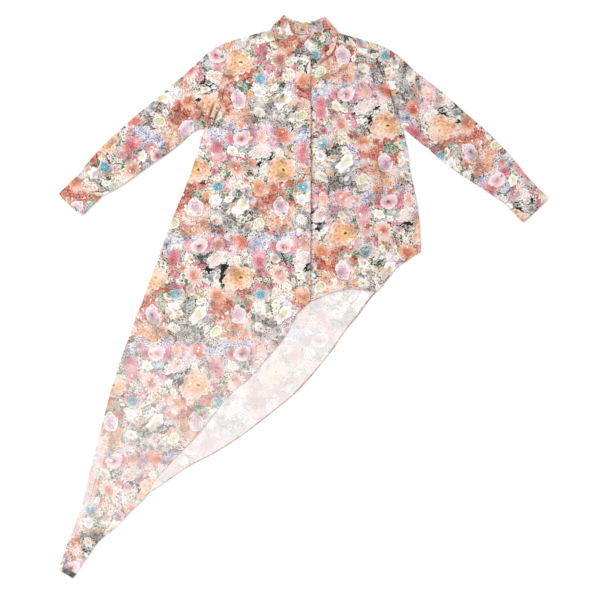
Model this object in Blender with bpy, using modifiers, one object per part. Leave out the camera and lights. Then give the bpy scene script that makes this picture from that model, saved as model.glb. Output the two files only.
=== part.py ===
"""A loose collared shirt with an asymmetric hem, laid flat, face up.

The wearer's right front and the back run down into one long pointed tail at -X, the left
front ends in a short corner at +X. +Y points from the hem to the collar, +Z up off the
surface that the back lies on. Each cut piece of cloth is its own closed wall. Lengths in
the tables are millimetres; MM turns them into metres.
"""

from collections import namedtuple
from math import cos, exp, hypot, pi, sin

import bpy
from mathutils import Vector

MM = 0.001

# Driving dimensions
CLOTH = 1.2        # wall of one layer
SEAM = 0.3         # space between two pieces at a seam
LAYER_GAP = 0.5    # least space between two layers that lie on each other
FOLD_RADIUS = 2.8  # half the height of a side fold, where front and back join
TAIL_WRAP = 9.8    # how far the back rolls over the right edge on the tail, along the cloth
FOLD_UPRIGHT = 0.8 # straight part each side of the seam on a side fold
FOLD_STEPS = 5     # strips of a side fold
EDGE_STRIP = 1.6   # width of each of as many strips along an edge that is cut or sewn flat
SIDE_SEAM = 0.45   # space between front and back at a side seam
SEAM_STRIP = 0.6   # narrow strip of cloth along a side seam
SEAM_END = 2.0     # space at the two ends of a side seam, where it meets other edges
SHOULDER_RADIUS = 3.2
BAND_LEFT = -21.0    # front band: its sewn edge
BAND_RIGHT = 19.4    # front band: its free edge
HIDDEN_EDGE = -19.5  # left front: its edge under the band
COLLAR_ROLL = 4.5    # thickness of the collar where it turns over at the front
COLLAR_ROLL_BACK = 3.6

# Armhole seams, from the shoulder down. height: top of the front layer there.
ArmholeRow = namedtuple("ArmholeRow", "y right left height")
ARMHOLE = [
    ArmholeRow(660, -199, 203, 6.5),
    ArmholeRow(625, -211, 213, 6.7),
    ArmholeRow(590, -219, 224, 6.8),
    ArmholeRow(555, -228, 235, 6.8),
    ArmholeRow(520, -232, 245, 6.7),
    ArmholeRow(490, -237, 250, 6.5),
    ArmholeRow(468, -248, 256, 6.2),
]
SHOULDER_TIP = {"right": (-194.0, 690.0), "left": (198.5, 682.0)}
ARMPIT = {"right": (-266.0, 452.0), "left": (267.0, 452.0)}

# Body below the armpits. right: the long side edge. front, back: where each panel ends at
# the left, first on the short side edge, then on its slanted hem. centre: front's height.
BodyRow = namedtuple("BodyRow", "y right front back centre")
BODY = [
    BodyRow(452, -266, 267, 267, 6.4),
    BodyRow(444, -269, 270, 270, 6.4),
    BodyRow(400, -283, 280, 280, 6.4),
    BodyRow(340, -302, 288, 288, 6.4),
    BodyRow(280, -324, 301, 301, 6.3),
    BodyRow(220, -349, 311, 311, 6.3),
    BodyRow(165, -370, 315, 315, 6.2),
    BodyRow(131, -382, 316, 316, 6.1),
    BodyRow(122, -385, 316, 316, 6.1),
    BodyRow(112, -388, 301, 301, 6.0),
    BodyRow(99, -392, 282, 282, 5.9),
    BodyRow(76, -401, 250, 250, 5.8),
    BodyRow(52, -410, 230, 230, 5.6),
    BodyRow(27, -420, 210, 211, 5.3),
    BodyRow(4, -429, 65, 188, 5.0),
    BodyRow(-20, -437, BAND_LEFT, 169, 4.5),
    BodyRow(-49, -449, BAND_LEFT, 149, 4.2),
    BodyRow(-76, -459, -32, 126, 4.2),
    BodyRow(-105, -469, -48, 104, 4.2),
    BodyRow(-140, -482, -76, 81, 4.2),
    BodyRow(-180, -496, -112, 49, 4.2),
    BodyRow(-220, -509, -146, 16, 4.2),
    BodyRow(-260, -521, -192, -22, 4.2),
    BodyRow(-300, -532, -228, -70, 4.2),
    BodyRow(-340, -542, -260, -120, 4.2),
    BodyRow(-380, -552, -293, -174, 4.2),
    BodyRow(-395, -556, -307, -197, 4.2),
    BodyRow(-408, -560, -320, -218, 4.2),
    BodyRow(-420, -563, -332, -238, 4.2),
    BodyRow(-460, -574, -368, -313, 4.2),
    BodyRow(-500, -584, -403, -371, 4.2),
    BodyRow(-540, -593, -426, -428, 4.2),
    BodyRow(-580, -604, -467, -469, 4.2),
    BodyRow(-620, -618, -503, -505, 4.2),
    BodyRow(-660, -634, -551, -553, 4.2),
    BodyRow(-700, -648, -580, -582, 4.2),
]
TAIL_END = {"right": (-660.0, -737.0), "left": (-622.0, -760.0)}
SHORT_CORNER_Y = 122
CORNER_HEIGHT = 4.6  # the side fold is lower where it meets the hem
BAND_FOOT_Y = -49
TAIL_WRAP_FROM_Y = -380

# Inner end of each front's rows beside the armhole: down the neckline, then the band.
# sag: how much lower the left front's hidden corner lies.
NeckRow = namedtuple("NeckRow", "x y height sag")
RIGHT_NECK = [
    NeckRow(-55.5, 696, 6.6, 0),
    NeckRow(-47, 672.5, 7.0, 0),
    NeckRow(-30, 657, 7.6, 0),
    NeckRow(BAND_LEFT, 652.5, 8.1, 0),
    NeckRow(BAND_LEFT, 610, 8.1, 0),
    NeckRow(BAND_LEFT, 560, 8.1, 0),
    NeckRow(BAND_LEFT, 505, 8.1, 0),
]
LEFT_NECK = [
    NeckRow(58, 694, 6.6, 0),
    NeckRow(49, 671, 6.5, 0),
    NeckRow(31, 656, 6.4, 0),
    NeckRow(HIDDEN_EDGE, 648, 6.4, 18),
    NeckRow(HIDDEN_EDGE, 600, 6.4, 0),
    NeckRow(HIDDEN_EDGE, 550, 6.4, 0),
    NeckRow(HIDDEN_EDGE, 500, 6.4, 0),
]

# Broad soft folds, raised on the front layer: where each starts and ends, how wide and high
Fold = namedtuple("Fold", "x0 y0 x1 y1 width height")
FOLDS = [
    Fold(-225, 520, -185, 380, 34, 2.8),
    Fold(-150, 640, -130, 420, 42, 2.0),
    Fold(235, 520, 215, 400, 32, 2.8),
    Fold(150, 600, 170, 330, 44, 2.0),
    Fold(-250, 330, -300, 60, 46, 2.4),
    Fold(-120, 300, -150, 20, 50, 2.0),
    Fold(110, 300, 130, 110, 48, 2.0),
    Fold(240, 330, 250, 160, 38, 2.0),
    Fold(-330, 0, -400, -300, 46, 2.8),
    Fold(-200, -60, -330, -330, 40, 2.4),
    Fold(-440, -360, -520, -600, 36, 2.4),
    Fold(-262, 560, -330, 470, 34, 2.8),
    Fold(-330, 560, -460, 430, 40, 2.0),
    Fold(262, 560, 330, 465, 34, 2.8),
    Fold(340, 545, 470, 420, 40, 2.0),
]

# Sleeves: places down the fold above and the fold below the arm, and the height between
SleeveRow = namedtuple("SleeveRow", "top_x top_y low_x low_y height")
SLEEVE = {
    "right": [
        SleeveRow(-194, 690, -266, 452, 6.8),
        SleeveRow(-246, 666, -271, 452.5, 7.0),
        SleeveRow(-306, 612, -279, 452, 7.3),
        SleeveRow(-368, 558, -292, 447, 7.5),
        SleeveRow(-433, 504, -350, 398, 7.2),
        SleeveRow(-495, 450, -418, 351, 6.9),
        SleeveRow(-557, 390, -487, 301, 6.6),
        SleeveRow(-611, 324.5, -546, 269.5, 6.2),
    ],
    "left": [
        SleeveRow(198.5, 682, 267, 452, 6.8),
        SleeveRow(245, 658, 272, 452, 7.0),
        SleeveRow(304, 606, 281, 445, 7.3),
        SleeveRow(372, 553.5, 292, 435, 7.5),
        SleeveRow(431, 501, 341, 395, 7.2),
        SleeveRow(493, 447, 403, 344, 6.9),
        SleeveRow(553, 386, 473, 298, 6.6),
        SleeveRow(612, 314.5, 544.5, 250, 6.2),
    ],
}
CUFF_END = {
    "right": SleeveRow(-660, 277.5, -597, 219.5, 6.0),
    "left": SleeveRow(660, 265.5, 593, 201, 6.0),
}
SLEEVE_RINGS = 13
CUFF_RINGS = 4
CUFF_SEAM = 0.4   # space between cuff and sleeve
CUFF_PROUD = 0.5  # how far the cuff's folds stand outside the sleeve's

# Collar, from the right front's end round the back to the left front's end. neck: where the
# stand is sewn on; fold: where the fall turns over; edge: the fall's outer edge. turn: the
# way the fall goes over, in degrees from straight up, counted towards the right shoulder.
CollarRow = namedtuple(
    "CollarRow", "neck_x neck_y neck_z fold_x fold_y fold_z edge_x edge_y edge_z turn"
)
COLLAR = [
    CollarRow(-4, 653.2, 7.6, -6.5, 679, 15.5, -46.5, 645.5, 13.2, 0),
    CollarRow(-24, 657, 7.2, -18, 696.5, 15.5, -61, 655, 12.6, 4),
    CollarRow(-43, 671.5, 6.9, -30, 711.5, 14.9, -72, 675, 11.9, 10),
    CollarRow(-53.5, 695, 6.6, -35.5, 728, 13.9, -79, 700, 11.2, 18),
    CollarRow(-59, 716, 6.2, -44, 747.5, 12.0, -84, 722, 9.6, 34),
    CollarRow(-60, 731, 5.5, -50.5, 758.8, 8.6, -85.5, 727.5, 4.6, 82),
    CollarRow(-57, 732, 4.6, -47, 757, 5.3, -85, 719, 0.0, 142),
    CollarRow(-50, 728, 4.0, -38, 751.5, 4.2, -76, 704, 0.0, 171),
    CollarRow(-26, 712, 3.8, -19, 744, 4.0, -42, 694, 0.0, 180),
    CollarRow(0.5, 707, 3.8, 0, 740, 4.0, 1, 693, 0.0, 180),
    CollarRow(28, 710, 3.8, 22, 744, 4.0, 43, 694, 0.0, 180),
    CollarRow(53, 722, 4.0, 41, 747.5, 4.2, 78, 699, 0.0, 189),
    CollarRow(60, 725, 4.6, 51, 752.5, 5.3, 88, 711, 0.0, 218),
    CollarRow(64, 723, 5.5, 54.5, 754, 8.6, 90, 719, 4.6, 278),
    CollarRow(63, 711, 6.2, 49.5, 741.5, 12.0, 92, 710, 9.6, 326),
    CollarRow(56.3, 693, 6.6, 42, 729.5, 13.9, 90, 690, 11.2, 342),
    CollarRow(46, 670.5, 6.9, 29, 714.5, 14.9, 80, 661, 11.9, 350),
    CollarRow(26, 655.5, 7.1, 14, 696, 15.5, 63, 643, 12.6, 356),
    CollarRow(6, 650.5, 7.2, 2, 680, 15.5, 41.5, 629, 13.2, 360),
]
COLLAR_STEPS = 3  # rows for each row of the table
ROLL_STEPS = 4    # strips of the roll where the fall turns over
FALL_SHARES = [0.35, 0.7, 1.0]  # rows of points between the roll and the fall's edge
STAND_SHORT = 4.5  # the fall reaches this far down from its turn to the stand
STAND_SPACE = 0.8  # space between stand and fall

PRINT_COLOUR = (0.80, 0.60, 0.54)
PALE_COLOUR = (0.88, 0.82, 0.80)
ROUGHNESS = 0.85


def mix(a, b, t):
    return a + (b - a) * t


def smooth_step(low, high, value):
    t = min(max((value - low) / (high - low), 0.0), 1.0)
    return t * t * (3.0 - 2.0 * t)


def slope(before, after):
    """The slope between two steps of a curve, kept small enough that it never swings past."""
    if before * after <= 0:
        return 0.0
    return min((before + after) / 2, 2 * before, 2 * after, key=abs)


def curve_value(values, t):
    """The value at t, 0 to 1, on a smooth curve through evenly spaced values."""
    last = len(values) - 1
    place = min(max(t, 0.0), 1.0) * last
    i = min(int(place), last - 1)
    f = place - i
    steps = [b - a for a, b in zip(values, values[1:])]
    start = slope(steps[i - 1], steps[i]) if i > 0 else steps[i]
    stop = slope(steps[i], steps[i + 1]) if i + 1 < last else steps[i]
    ease = f * f * (3 - 2 * f)
    return (
        mix(values[i], values[i + 1], ease)
        + start * f * (1 - f) ** 2 - stop * f * f * (1 - f)
    )


def curve_row(rows, t):
    """A row of a table between its rows, each column on its own smooth curve."""
    kind = type(rows[0])
    return kind(*(curve_value([row[k] for row in rows], t) for k in range(len(rows[0]))))


def fold_height(x, y):
    """How much the soft folds raise the front layer at a place."""
    total = 0.0
    for fold in FOLDS:
        dx, dy = fold.x1 - fold.x0, fold.y1 - fold.y0
        along = ((x - fold.x0) * dx + (y - fold.y0) * dy) / (dx * dx + dy * dy)
        t = min(max(along, 0.0), 1.0)
        away = hypot(x - fold.x0 - dx * t, y - fold.y0 - dy * t)
        total += fold.height * sin(pi * (0.15 + 0.7 * t)) * exp(-((away / fold.width) ** 2))
    return total


def side_fold(edge_x, side, arc, height):
    """A point on the round side fold, by its distance along the cloth from mid height."""
    radius = height / 2 - FOLD_UPRIGHT
    quarter = radius * pi / 2
    past = max(abs(arc) - FOLD_UPRIGHT, 0.0)
    angle = min(past, quarter) / radius
    inside = radius * (1 - cos(angle)) + max(past - quarter, 0.0)
    rise = min(abs(arc), FOLD_UPRIGHT) + radius * sin(angle)
    return edge_x - side * inside, height / 2 + (rise if arc > 0 else -rise)


def folded_edge(edge_x, side, layer, seam_arc, height=2 * FOLD_RADIUS, space=SIDE_SEAM):
    """x and z of the columns that run from flat cloth to the seam on a side fold."""
    full = FOLD_UPRIGHT + (height / 2 - FOLD_UPRIGHT) * pi / 2
    if layer == "back":
        stop = seam_arc - space / 2
        start, knee = -full, stop - SEAM_STRIP
    else:
        stop = seam_arc + space / 2
        start, knee = max(full, stop + 5 * SEAM_STRIP), stop + SEAM_STRIP
    arcs = [mix(start, knee, k / (FOLD_STEPS - 1)) for k in range(FOLD_STEPS)] + [stop]
    return [side_fold(edge_x, side, arc, height) for arc in arcs]


def open_edge(edge_x, side, z):
    """The same columns where the edge is cut or sewn flat."""
    return [(edge_x - side * EDGE_STRIP * (FOLD_STEPS - k), z) for k in range(FOLD_STEPS + 1)]


def make_object(name, verts, faces, colour, collection):
    mesh = bpy.data.meshes.new(name)
    mesh.from_pydata([Vector(v) * MM for v in verts], [], faces)
    mesh.update()
    material = bpy.data.materials.new(name)
    material.use_nodes = True
    shader = material.node_tree.nodes["Principled BSDF"]
    shader.inputs["Base Color"].default_value = (*colour, 1.0)
    shader.inputs["Roughness"].default_value = ROUGHNESS
    shader.inputs["Metallic"].default_value = 0.0
    mesh.materials.append(material)
    piece = bpy.data.objects.new(name, mesh)
    collection.objects.link(piece)
    wall = piece.modifiers.new("wall", "SOLIDIFY")
    wall.thickness = CLOTH * MM
    wall.offset = -1.0
    wall.use_even_offset = True
    wall.use_rim = True
    return piece


def grid_faces(rows, columns, closed=False, flip=False):
    """Quads of a grid whose points are listed row by row."""
    faces = []
    for i in range(rows - 1):
        for j in range(columns if closed else columns - 1):
            k = (j + 1) % columns
            quad = (i * columns + j, i * columns + k, (i + 1) * columns + k, (i + 1) * columns + j)
            faces.append(quad if flip else quad[::-1])
    return faces


def make_sheet(name, grid, colour, collection, closed=False, flip=False):
    verts = [point for row in grid for point in row]
    faces = grid_faces(len(grid), len(grid[0]), closed, flip)
    return make_object(name, verts, faces, colour, collection)


def seam_space(y):
    """Space between front and back at a side seam, wider where it ends or changes height."""
    ends = max(smooth_step(400, 452, y), smooth_step(165, 122, y) * (y > 0))
    turning = smooth_step(-360, -395, y) * smooth_step(-470, -430, y)
    return mix(SIDE_SEAM, SEAM_END, max(ends, turning * 0.6))


def side_edge(row, name, layer):
    """The edge strip of a body row: a side fold, or on the short side's hem a flat edge."""
    if name == "right":
        return folded_edge(row.right, -1, layer, right_seam_arc(row.y), space=seam_space(row.y))
    edge = row.back if layer == "back" else row.front
    if row.y < SHORT_CORNER_Y:
        return open_edge(edge, 1, 0.0 if layer == "back" else hem_height(row.y))
    height = CORNER_HEIGHT if row.y == SHORT_CORNER_Y else 2 * FOLD_RADIUS
    return folded_edge(edge, 1, layer, 0.0, height, seam_space(row.y))


def right_seam_arc(y):
    """Where the long side seam lies on its fold: rolled on to the front down the tail."""
    return TAIL_WRAP * smooth_step(TAIL_WRAP_FROM_Y, TAIL_WRAP_FROM_Y - 60, y)


HEM_LIFT = 1.6   # half the height by which the front hem waves off the back
HEM_WAVE = 34.0  # and how far apart its waves are, along Y for each radian


def hem_height(y):
    """Top of the front layer on its hem, flat on the back near the tail's end."""
    lift = HEM_LIFT * (1 + sin(y / HEM_WAVE)) * smooth_step(-620, -560, y)
    return 2 * CLOTH + LAYER_GAP + lift


# Back -------------------------------------------------------------------------------

BACK_COLUMNS = 11


def back_row(y, right, left):
    """One row of the back, given its two edge strips, the middle flat on the floor."""
    start, stop = right[0][0], left[0][0]
    middle = [
        (mix(start, stop, (k + 1) / (BACK_COLUMNS + 1)), y, 0.0) for k in range(BACK_COLUMNS)
    ]
    return [(x, y, z) for x, z in reversed(right)] + middle + [(x, y, z) for x, z in left]


def make_back(collection):
    grid = []
    top = ARMHOLE[2]._replace(y=ARMHOLE[2].y - SEAM)
    for row in [top, *ARMHOLE[3:]]:
        grid.append(
            back_row(row.y, open_edge(row.right, -1, 0.0), open_edge(row.left, 1, 0.0))
        )
    for row in BODY:
        right = side_edge(row, "right", "back")
        left = side_edge(row, "left", "back")
        grid.append(back_row(row.y, right, left))
    grid.append(back_tail_end())
    return make_sheet("back", grid, PALE_COLOUR, collection, flip=True)


def tail_end_y(x):
    (x0, y0), (x1, y1) = TAIL_END["right"], TAIL_END["left"]
    return mix(y0, y1, min(max((x - x0) / (x1 - x0), 0), 1))


def back_tail_end():
    """The slanted blunt end of the tail."""
    (x0, y0), (x1, y1) = TAIL_END["right"], TAIL_END["left"]
    row = back_row(y0, folded_edge(x0, -1, "back", right_seam_arc(y0)), open_edge(x1, 1, 0.0))
    return [(x, tail_end_y(x), z) for x, y, z in row]


# Fronts -----------------------------------------------------------------------------

FRONT_COLUMNS = 9
FRONT_CROWN = 0.6  # how far a front rises between its edges
WIDE_ROW = 180.0   # a shorter row than this rises less


FRONT_SHARES = [(k + 1) / FRONT_COLUMNS for k in range(FRONT_COLUMNS)]
NECK_SHARES = [0.92 * share for share in FRONT_SHARES] + [0.96, 1.0]  # two columns more


def front_row(outer, inner, y_outer, y_inner, crown=FRONT_CROWN, shares=FRONT_SHARES):
    """One row of a front: its edge strip at the side, then the middle, then the inner edge.

    outer is the list of (x, z) from flat cloth to the side seam; inner is one (x, z)."""
    (x0, z0), (x1, z1) = outer[0], inner
    points = [(x, y_outer, z) for x, z in reversed(outer)]
    for t in shares:
        x, y = mix(x0, x1, t), mix(y_outer, y_inner, t)
        bulge = sin(pi * t)
        z = mix(z0, z1, t)
        if crown > 0:
            width = min(1.0, abs(x1 - x0) / WIDE_ROW)
            z += width * (crown * bulge ** 0.7 + fold_height(x, y) * min(1.0, 3 * bulge))
        points.append((x, y, z))
    return points


def band_height(y):
    """Top of the left front under the band."""
    rows = [(row.y, row.centre) for row in BODY]
    if y >= rows[0][0]:
        return rows[0][1]
    for (y0, z0), (y1, z1) in zip(rows, rows[1:]):
        if y >= y1:
            return mix(z1, z0, (y - y1) / (y0 - y1))
    return rows[-1][1]


YOKE_SEAM = 0.5  # space along Y between yoke and front


def upper_row(row, neck, name):
    """Heights and places of a front's row beside the armhole: outer strip, y, inner y."""
    side = -1 if name == "right" else 1
    outer = open_edge(getattr(row, name), side, row.height)
    seam = YOKE_SEAM if row is ARMHOLE[0] else 0.0
    return outer, row.y - seam, neck.y - seam, 0.0 if seam else FRONT_CROWN


def make_front_right(collection):
    grid = []
    lap = CLOTH + LAYER_GAP
    for row, neck in zip(ARMHOLE, RIGHT_NECK):
        outer, y, y_neck, crown = upper_row(row, neck, "right")
        inner = (neck.x - SEAM, neck.height)
        grid.append(front_row(outer, inner, y, y_neck, crown))
    for row in BODY:
        if row.y >= BAND_FOOT_Y:
            inner = (BAND_LEFT - SEAM, band_height(row.y) + lap)
        else:
            inner = (row.front, hem_height(row.y))
        grid.append(front_row(side_edge(row, "right", "front"), inner, row.y, row.y))
    grid.append(front_tail_end())
    return make_sheet("front_right", grid, PRINT_COLOUR, collection)


def front_tail_end():
    (x0, y0), (x1, y1) = TAIL_END["right"], TAIL_END["left"]
    outer = folded_edge(x0, -1, "front", right_seam_arc(y0))
    row = front_row(outer, (x1, hem_height(y1)), y0, y1, FRONT_CROWN)
    return [(x, tail_end_y(x), z) for x, y, z in row]


def under_band(outer, height, y_outer, y_inner, sag=0.0, crown=FRONT_CROWN):
    """One row of the left front: even in height under the band, then as any front row."""
    clear_x = BAND_RIGHT + 3.0
    row = front_row(outer, (clear_x, height), y_outer, y_inner, crown)
    for x, drop in (((clear_x + HIDDEN_EDGE) / 2, sag * 0.45), (HIDDEN_EDGE, sag)):
        row.append((x, y_inner - drop, band_height(y_inner - drop)))
    return row


# The left front's hem lies on the back's down to LEFT_HEM_TURN, then curves over to the band.
LEFT_HEM_TURN = (195.0, 12.0)
LEFT_HEM_ARCH = 18.0  # how far that stretch arches above a straight line
LEFT_HEM_ROUND = 1.3  # and how round its ends are
LEFT_FOOT_Y = -10.5   # where that hem goes under the band
LEFT_FOOT_SAG = 30    # how much lower its hidden corner lies


def left_hem_row():
    """The left front's last row, along its hem from where it leaves the back's."""
    turn_x, turn_y = LEFT_HEM_TURN
    outer = open_edge(turn_x, 1, hem_height(turn_y))
    row = under_band(
        outer, band_height(LEFT_FOOT_Y), turn_y, LEFT_FOOT_Y, LEFT_FOOT_SAG, 0.0
    )
    clear_x, start_x = BAND_RIGHT + 3.0, outer[0][0]
    points = []
    for x, y, z in row:
        share = min(max((start_x - x) / (start_x - clear_x), 0.0), 1.0)
        points.append((x, y + LEFT_HEM_ARCH * sin(pi * share) ** LEFT_HEM_ROUND, z))
    return points


def make_front_left(collection):
    grid = []
    for row, neck in zip(ARMHOLE, LEFT_NECK):
        outer, y, y_neck, crown = upper_row(row, neck, "left")
        if neck.x > HIDDEN_EDGE:
            inner = (neck.x + SEAM, neck.height)
            grid.append(front_row(outer, inner, y, y_neck, crown, NECK_SHARES))
        else:
            grid.append(under_band(outer, neck.height, y, y_neck, neck.sag))
    for row in BODY:
        if row.y > LEFT_HEM_TURN[1]:
            outer = side_edge(row, "left", "front")
            grid.append(under_band(outer, band_height(row.y), row.y, row.y))
    grid.append(left_hem_row())
    return make_sheet("front_left", grid, PRINT_COLOUR, collection, flip=True)


BAND_COLUMNS = 4
BAND_TOP_Y = 652.5
BAND_UPPER_ROWS = [634, 600, 550, 500]  # above the rows of the body's table
BAND_FOOT_END_Y = -10  # its foot at the free edge
BAND_TOP_DROP = 10.0   # its top corner is rounded off
BAND_FOOT_DROP = 38.0  # its foot follows the slanted hem


def make_front_band(collection):
    grid = []
    body_rows = [row.y for row in BODY if row.y > 0]
    for y in [BAND_TOP_Y, *BAND_UPPER_ROWS, *body_rows, BAND_FOOT_END_Y]:
        row = []
        for k in range(BAND_COLUMNS + 1):
            t = k / BAND_COLUMNS
            drop = 0.0
            if y == BAND_TOP_Y:
                drop = BAND_TOP_DROP * t * t
            elif y < 0:
                drop = BAND_FOOT_DROP * (1 - t)
            z = band_height(y - drop) + CLOTH + LAYER_GAP
            row.append((mix(BAND_LEFT, BAND_RIGHT, t), y - drop, z))
        grid.append(row)
    return make_sheet("front_band", grid, PRINT_COLOUR, collection)


# Yoke -------------------------------------------------------------------------------

YOKE_ARM_COLUMNS = 5
YOKE_NECK_COLUMNS = 6
YOKE_NECK = {"right": (-64.0, 727.0), "left": (68.0, 719.0)}  # ends of the back neckline
YOKE_NECK_DIP = 17.0     # how far the back neckline curves down
YOKE_UPPER_ROW = 669.0   # last row before the shoulder fold, at the armhole
YOKE_UPPER_RISE = 22.0   # and how much higher that row is at the neck
YOKE_LIFT = 2.1          # room under the yoke where the collar's fall lies behind it
SHOULDER_STEPS = 4


def shoulder_arc(x, y, low, high):
    """Points over the shoulder fold at one x: y of its outermost line, z from low to high."""
    radius = (high - low) / 2
    points = []
    for k in range(SHOULDER_STEPS + 1):
        angle = -pi / 2 + pi * k / SHOULDER_STEPS
        points.append((x, y - radius + radius * cos(angle), low + radius + radius * sin(angle)))
    return points


def yoke_lift(x, y):
    """How far the yoke is raised where the back of the collar's fall lies under it."""
    return YOKE_LIFT * smooth_step(112, 92, abs(x - 3)) * smooth_step(672, 688, y)


def yoke_arm(name):
    """Columns from the armhole to the neck: up the back, over the shoulder, to the front."""
    neck = (RIGHT_NECK if name == "right" else LEFT_NECK)[0]
    tip_x, tip_y = SHOULDER_TIP[name]
    neck_x, neck_y = YOKE_NECK[name]
    rows = [(row.y, getattr(row, name), 0.0) for row in reversed(ARMHOLE[:3])]
    rows.append((YOKE_UPPER_ROW, mix(rows[-1][1], tip_x, 0.6), YOKE_UPPER_RISE))
    columns = []
    for c in range(YOKE_ARM_COLUMNS + 1):
        t = c / YOKE_ARM_COLUMNS
        column = []
        for level, edge_x, rise in rows:
            x, y = mix(edge_x, neck_x, t), level + rise * t
            column.append((x, y, yoke_lift(x, y)))
        x, y = mix(tip_x, neck_x, t), mix(tip_y, neck_y, t)
        column += shoulder_arc(x, y, yoke_lift(x, y), 2 * SHOULDER_RADIUS)
        front = ARMHOLE[0]
        x = mix(getattr(front, name), neck.x, t)
        column.append((x, mix(front.y, neck.y, t), mix(front.height, neck.height, t)))
        columns.append(column)
    return columns


def make_yoke(collection):
    right, left = yoke_arm("right"), yoke_arm("left")
    size = len(right[0])
    verts = [point for column in right + left for point in column]
    first_left = len(right) * size
    faces = grid_faces(len(right), size, flip=True)
    faces += [tuple(first_left + k for k in quad) for quad in grid_faces(len(left), size)]
    back_rows = size - SHOULDER_STEPS - 1
    edge_right = [(len(right) - 1) * size + r for r in range(back_rows)]
    edge_left = [first_left + (len(left) - 1) * size + r for r in range(back_rows)]
    centre = [edge_right]
    for c in range(1, YOKE_NECK_COLUMNS):
        t = c / YOKE_NECK_COLUMNS
        column = []
        for r, (a, b) in enumerate(zip(edge_right, edge_left)):
            dip = YOKE_NECK_DIP * sin(pi * t) * {1: 1.0, 2: 0.25}.get(back_rows - r, 0.0)
            x = mix(verts[a][0], verts[b][0], t)
            y = mix(verts[a][1], verts[b][1], t) - dip
            column.append(len(verts))
            verts.append((x, y, yoke_lift(x, y)))
        centre.append(column)
    centre.append(edge_left)
    for near, far in zip(centre, centre[1:]):
        for r in range(back_rows - 1):
            faces.append((near[r], near[r + 1], far[r + 1], far[r]))
    return make_object("yoke", verts, faces, PRINT_COLOUR, collection)


# Sleeves and cuffs ------------------------------------------------------------------

ARMHOLE_GAP = 0.5  # between sleeve and body, measured along X
ARM_SHARES = [
    (SHOULDER_TIP["right"][1] - row.y) / (SHOULDER_TIP["right"][1] - ARMPIT["right"][1])
    for row in ARMHOLE
]  # where the rows of the armhole's table lie between shoulder and armpit
LOW_FOLD_ANGLES = [0.28 * pi, 0.0, -0.28 * pi]


def sleeve_ring(row, radius=FOLD_RADIUS, grow=0.0):
    """A closed ring round a flattened sleeve: back layer, upper fold, front layer, lower fold."""
    top, low = Vector((row.top_x, row.top_y)), Vector((row.low_x, row.low_y))
    down = (low - top).normalized()
    top, low = top - down * grow, low + down * grow
    width = (low - top).length
    points = []
    for s in reversed(ARM_SHARES):
        place = top + down * width * s
        points.append((place.x, place.y, 0.0))
    for k in range(SHOULDER_STEPS + 1):
        angle = -pi / 2 + pi * k / SHOULDER_STEPS
        place = top + down * radius * (1 - cos(angle))
        points.append((place.x, place.y, radius + radius * sin(angle)))
    for s in ARM_SHARES:
        place = top + down * width * s
        rise = row.height - 2 * radius + fold_height(place.x, place.y)
        z = 2 * radius + rise * sin(pi * s) ** 0.8
        points.append((place.x, place.y, z))
    for angle in LOW_FOLD_ANGLES:
        place = low - down * radius * (1 - cos(angle))
        points.append((place.x, place.y, radius + radius * sin(angle)))
    return points


def armhole_ring(name):
    """The sleeve's first ring: along the armhole seam, a seam's space outside the body."""
    side = -1 if name == "right" else 1
    armpit_x, armpit_y = ARMPIT[name]
    tip_x, tip_y = SHOULDER_TIP[name]
    points = []
    for row in reversed(ARMHOLE):
        points.append((getattr(row, name) + side * ARMHOLE_GAP, row.y, 0.0))
    points += shoulder_arc(tip_x + side * ARMHOLE_GAP, tip_y, 0.0, 2 * SHOULDER_RADIUS)
    for row in ARMHOLE:
        points.append((getattr(row, name) + side * ARMHOLE_GAP, row.y, row.height))
    last = ARMHOLE[-1]
    heights = [mix(last.height, FOLD_RADIUS, 0.5), FOLD_RADIUS, FOLD_RADIUS / 4]
    for t, height in zip((0.5, 1.0, 0.5), heights):
        x = mix(getattr(last, name), armpit_x, t) + side * ARMHOLE_GAP
        points.append((x, mix(last.y, armpit_y, t) + ARMHOLE_GAP, height))
    return points


def make_sleeve(name, collection):
    rows = SLEEVE[name]
    grid = [armhole_ring(name)]
    for i in range(1, SLEEVE_RINGS + 1):
        t = i / SLEEVE_RINGS
        ring = sleeve_ring(curve_row(rows, t))
        if i == SLEEVE_RINGS:
            ring = [step_towards(p, grid[-1][k], CUFF_SEAM) for k, p in enumerate(ring)]
        grid.append(ring)
    return make_sheet(
        "sleeve_" + name, grid, PRINT_COLOUR, collection, closed=True, flip=name == "left"
    )


def step_towards(point, other, distance):
    a, b = Vector(point), Vector(other)
    return tuple(a + (b - a).normalized() * distance)


def make_cuff(name, collection):
    first, last = SLEEVE[name][-1], CUFF_END[name]
    grid = []
    for i in range(CUFF_RINGS):
        t = i / (CUFF_RINGS - 1)
        row = SleeveRow(*(mix(a, b, t) for a, b in zip(first, last)))
        grid.append(sleeve_ring(row, grow=CUFF_PROUD))
    return make_sheet(
        "cuff_" + name, grid, PRINT_COLOUR, collection, closed=True, flip=name == "left"
    )


# Collar -----------------------------------------------------------------------------


def collar_parts(row):
    """Neck, fold and edge points of one collar row, the way along the stand and over it."""
    neck = Vector((row.neck_x, row.neck_y, row.neck_z))
    fold = Vector((row.fold_x, row.fold_y, row.fold_z))
    edge = Vector((row.edge_x, row.edge_y, max(row.edge_z, 0.0)))
    angle = row.turn * pi / 180
    over = Vector((-sin(angle), 0, cos(angle)))
    along = (fold - neck).normalized()
    over = (over - along * over.dot(along)).normalized()
    thick = mix(COLLAR_ROLL, COLLAR_ROLL_BACK, smooth_step(0.2, -0.8, cos(angle)))
    return neck, fold, edge, along, over, thick


def collar_rows():
    count = (len(COLLAR) - 1) * COLLAR_STEPS
    return [curve_row(COLLAR, i / count) for i in range(count + 1)]


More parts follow.
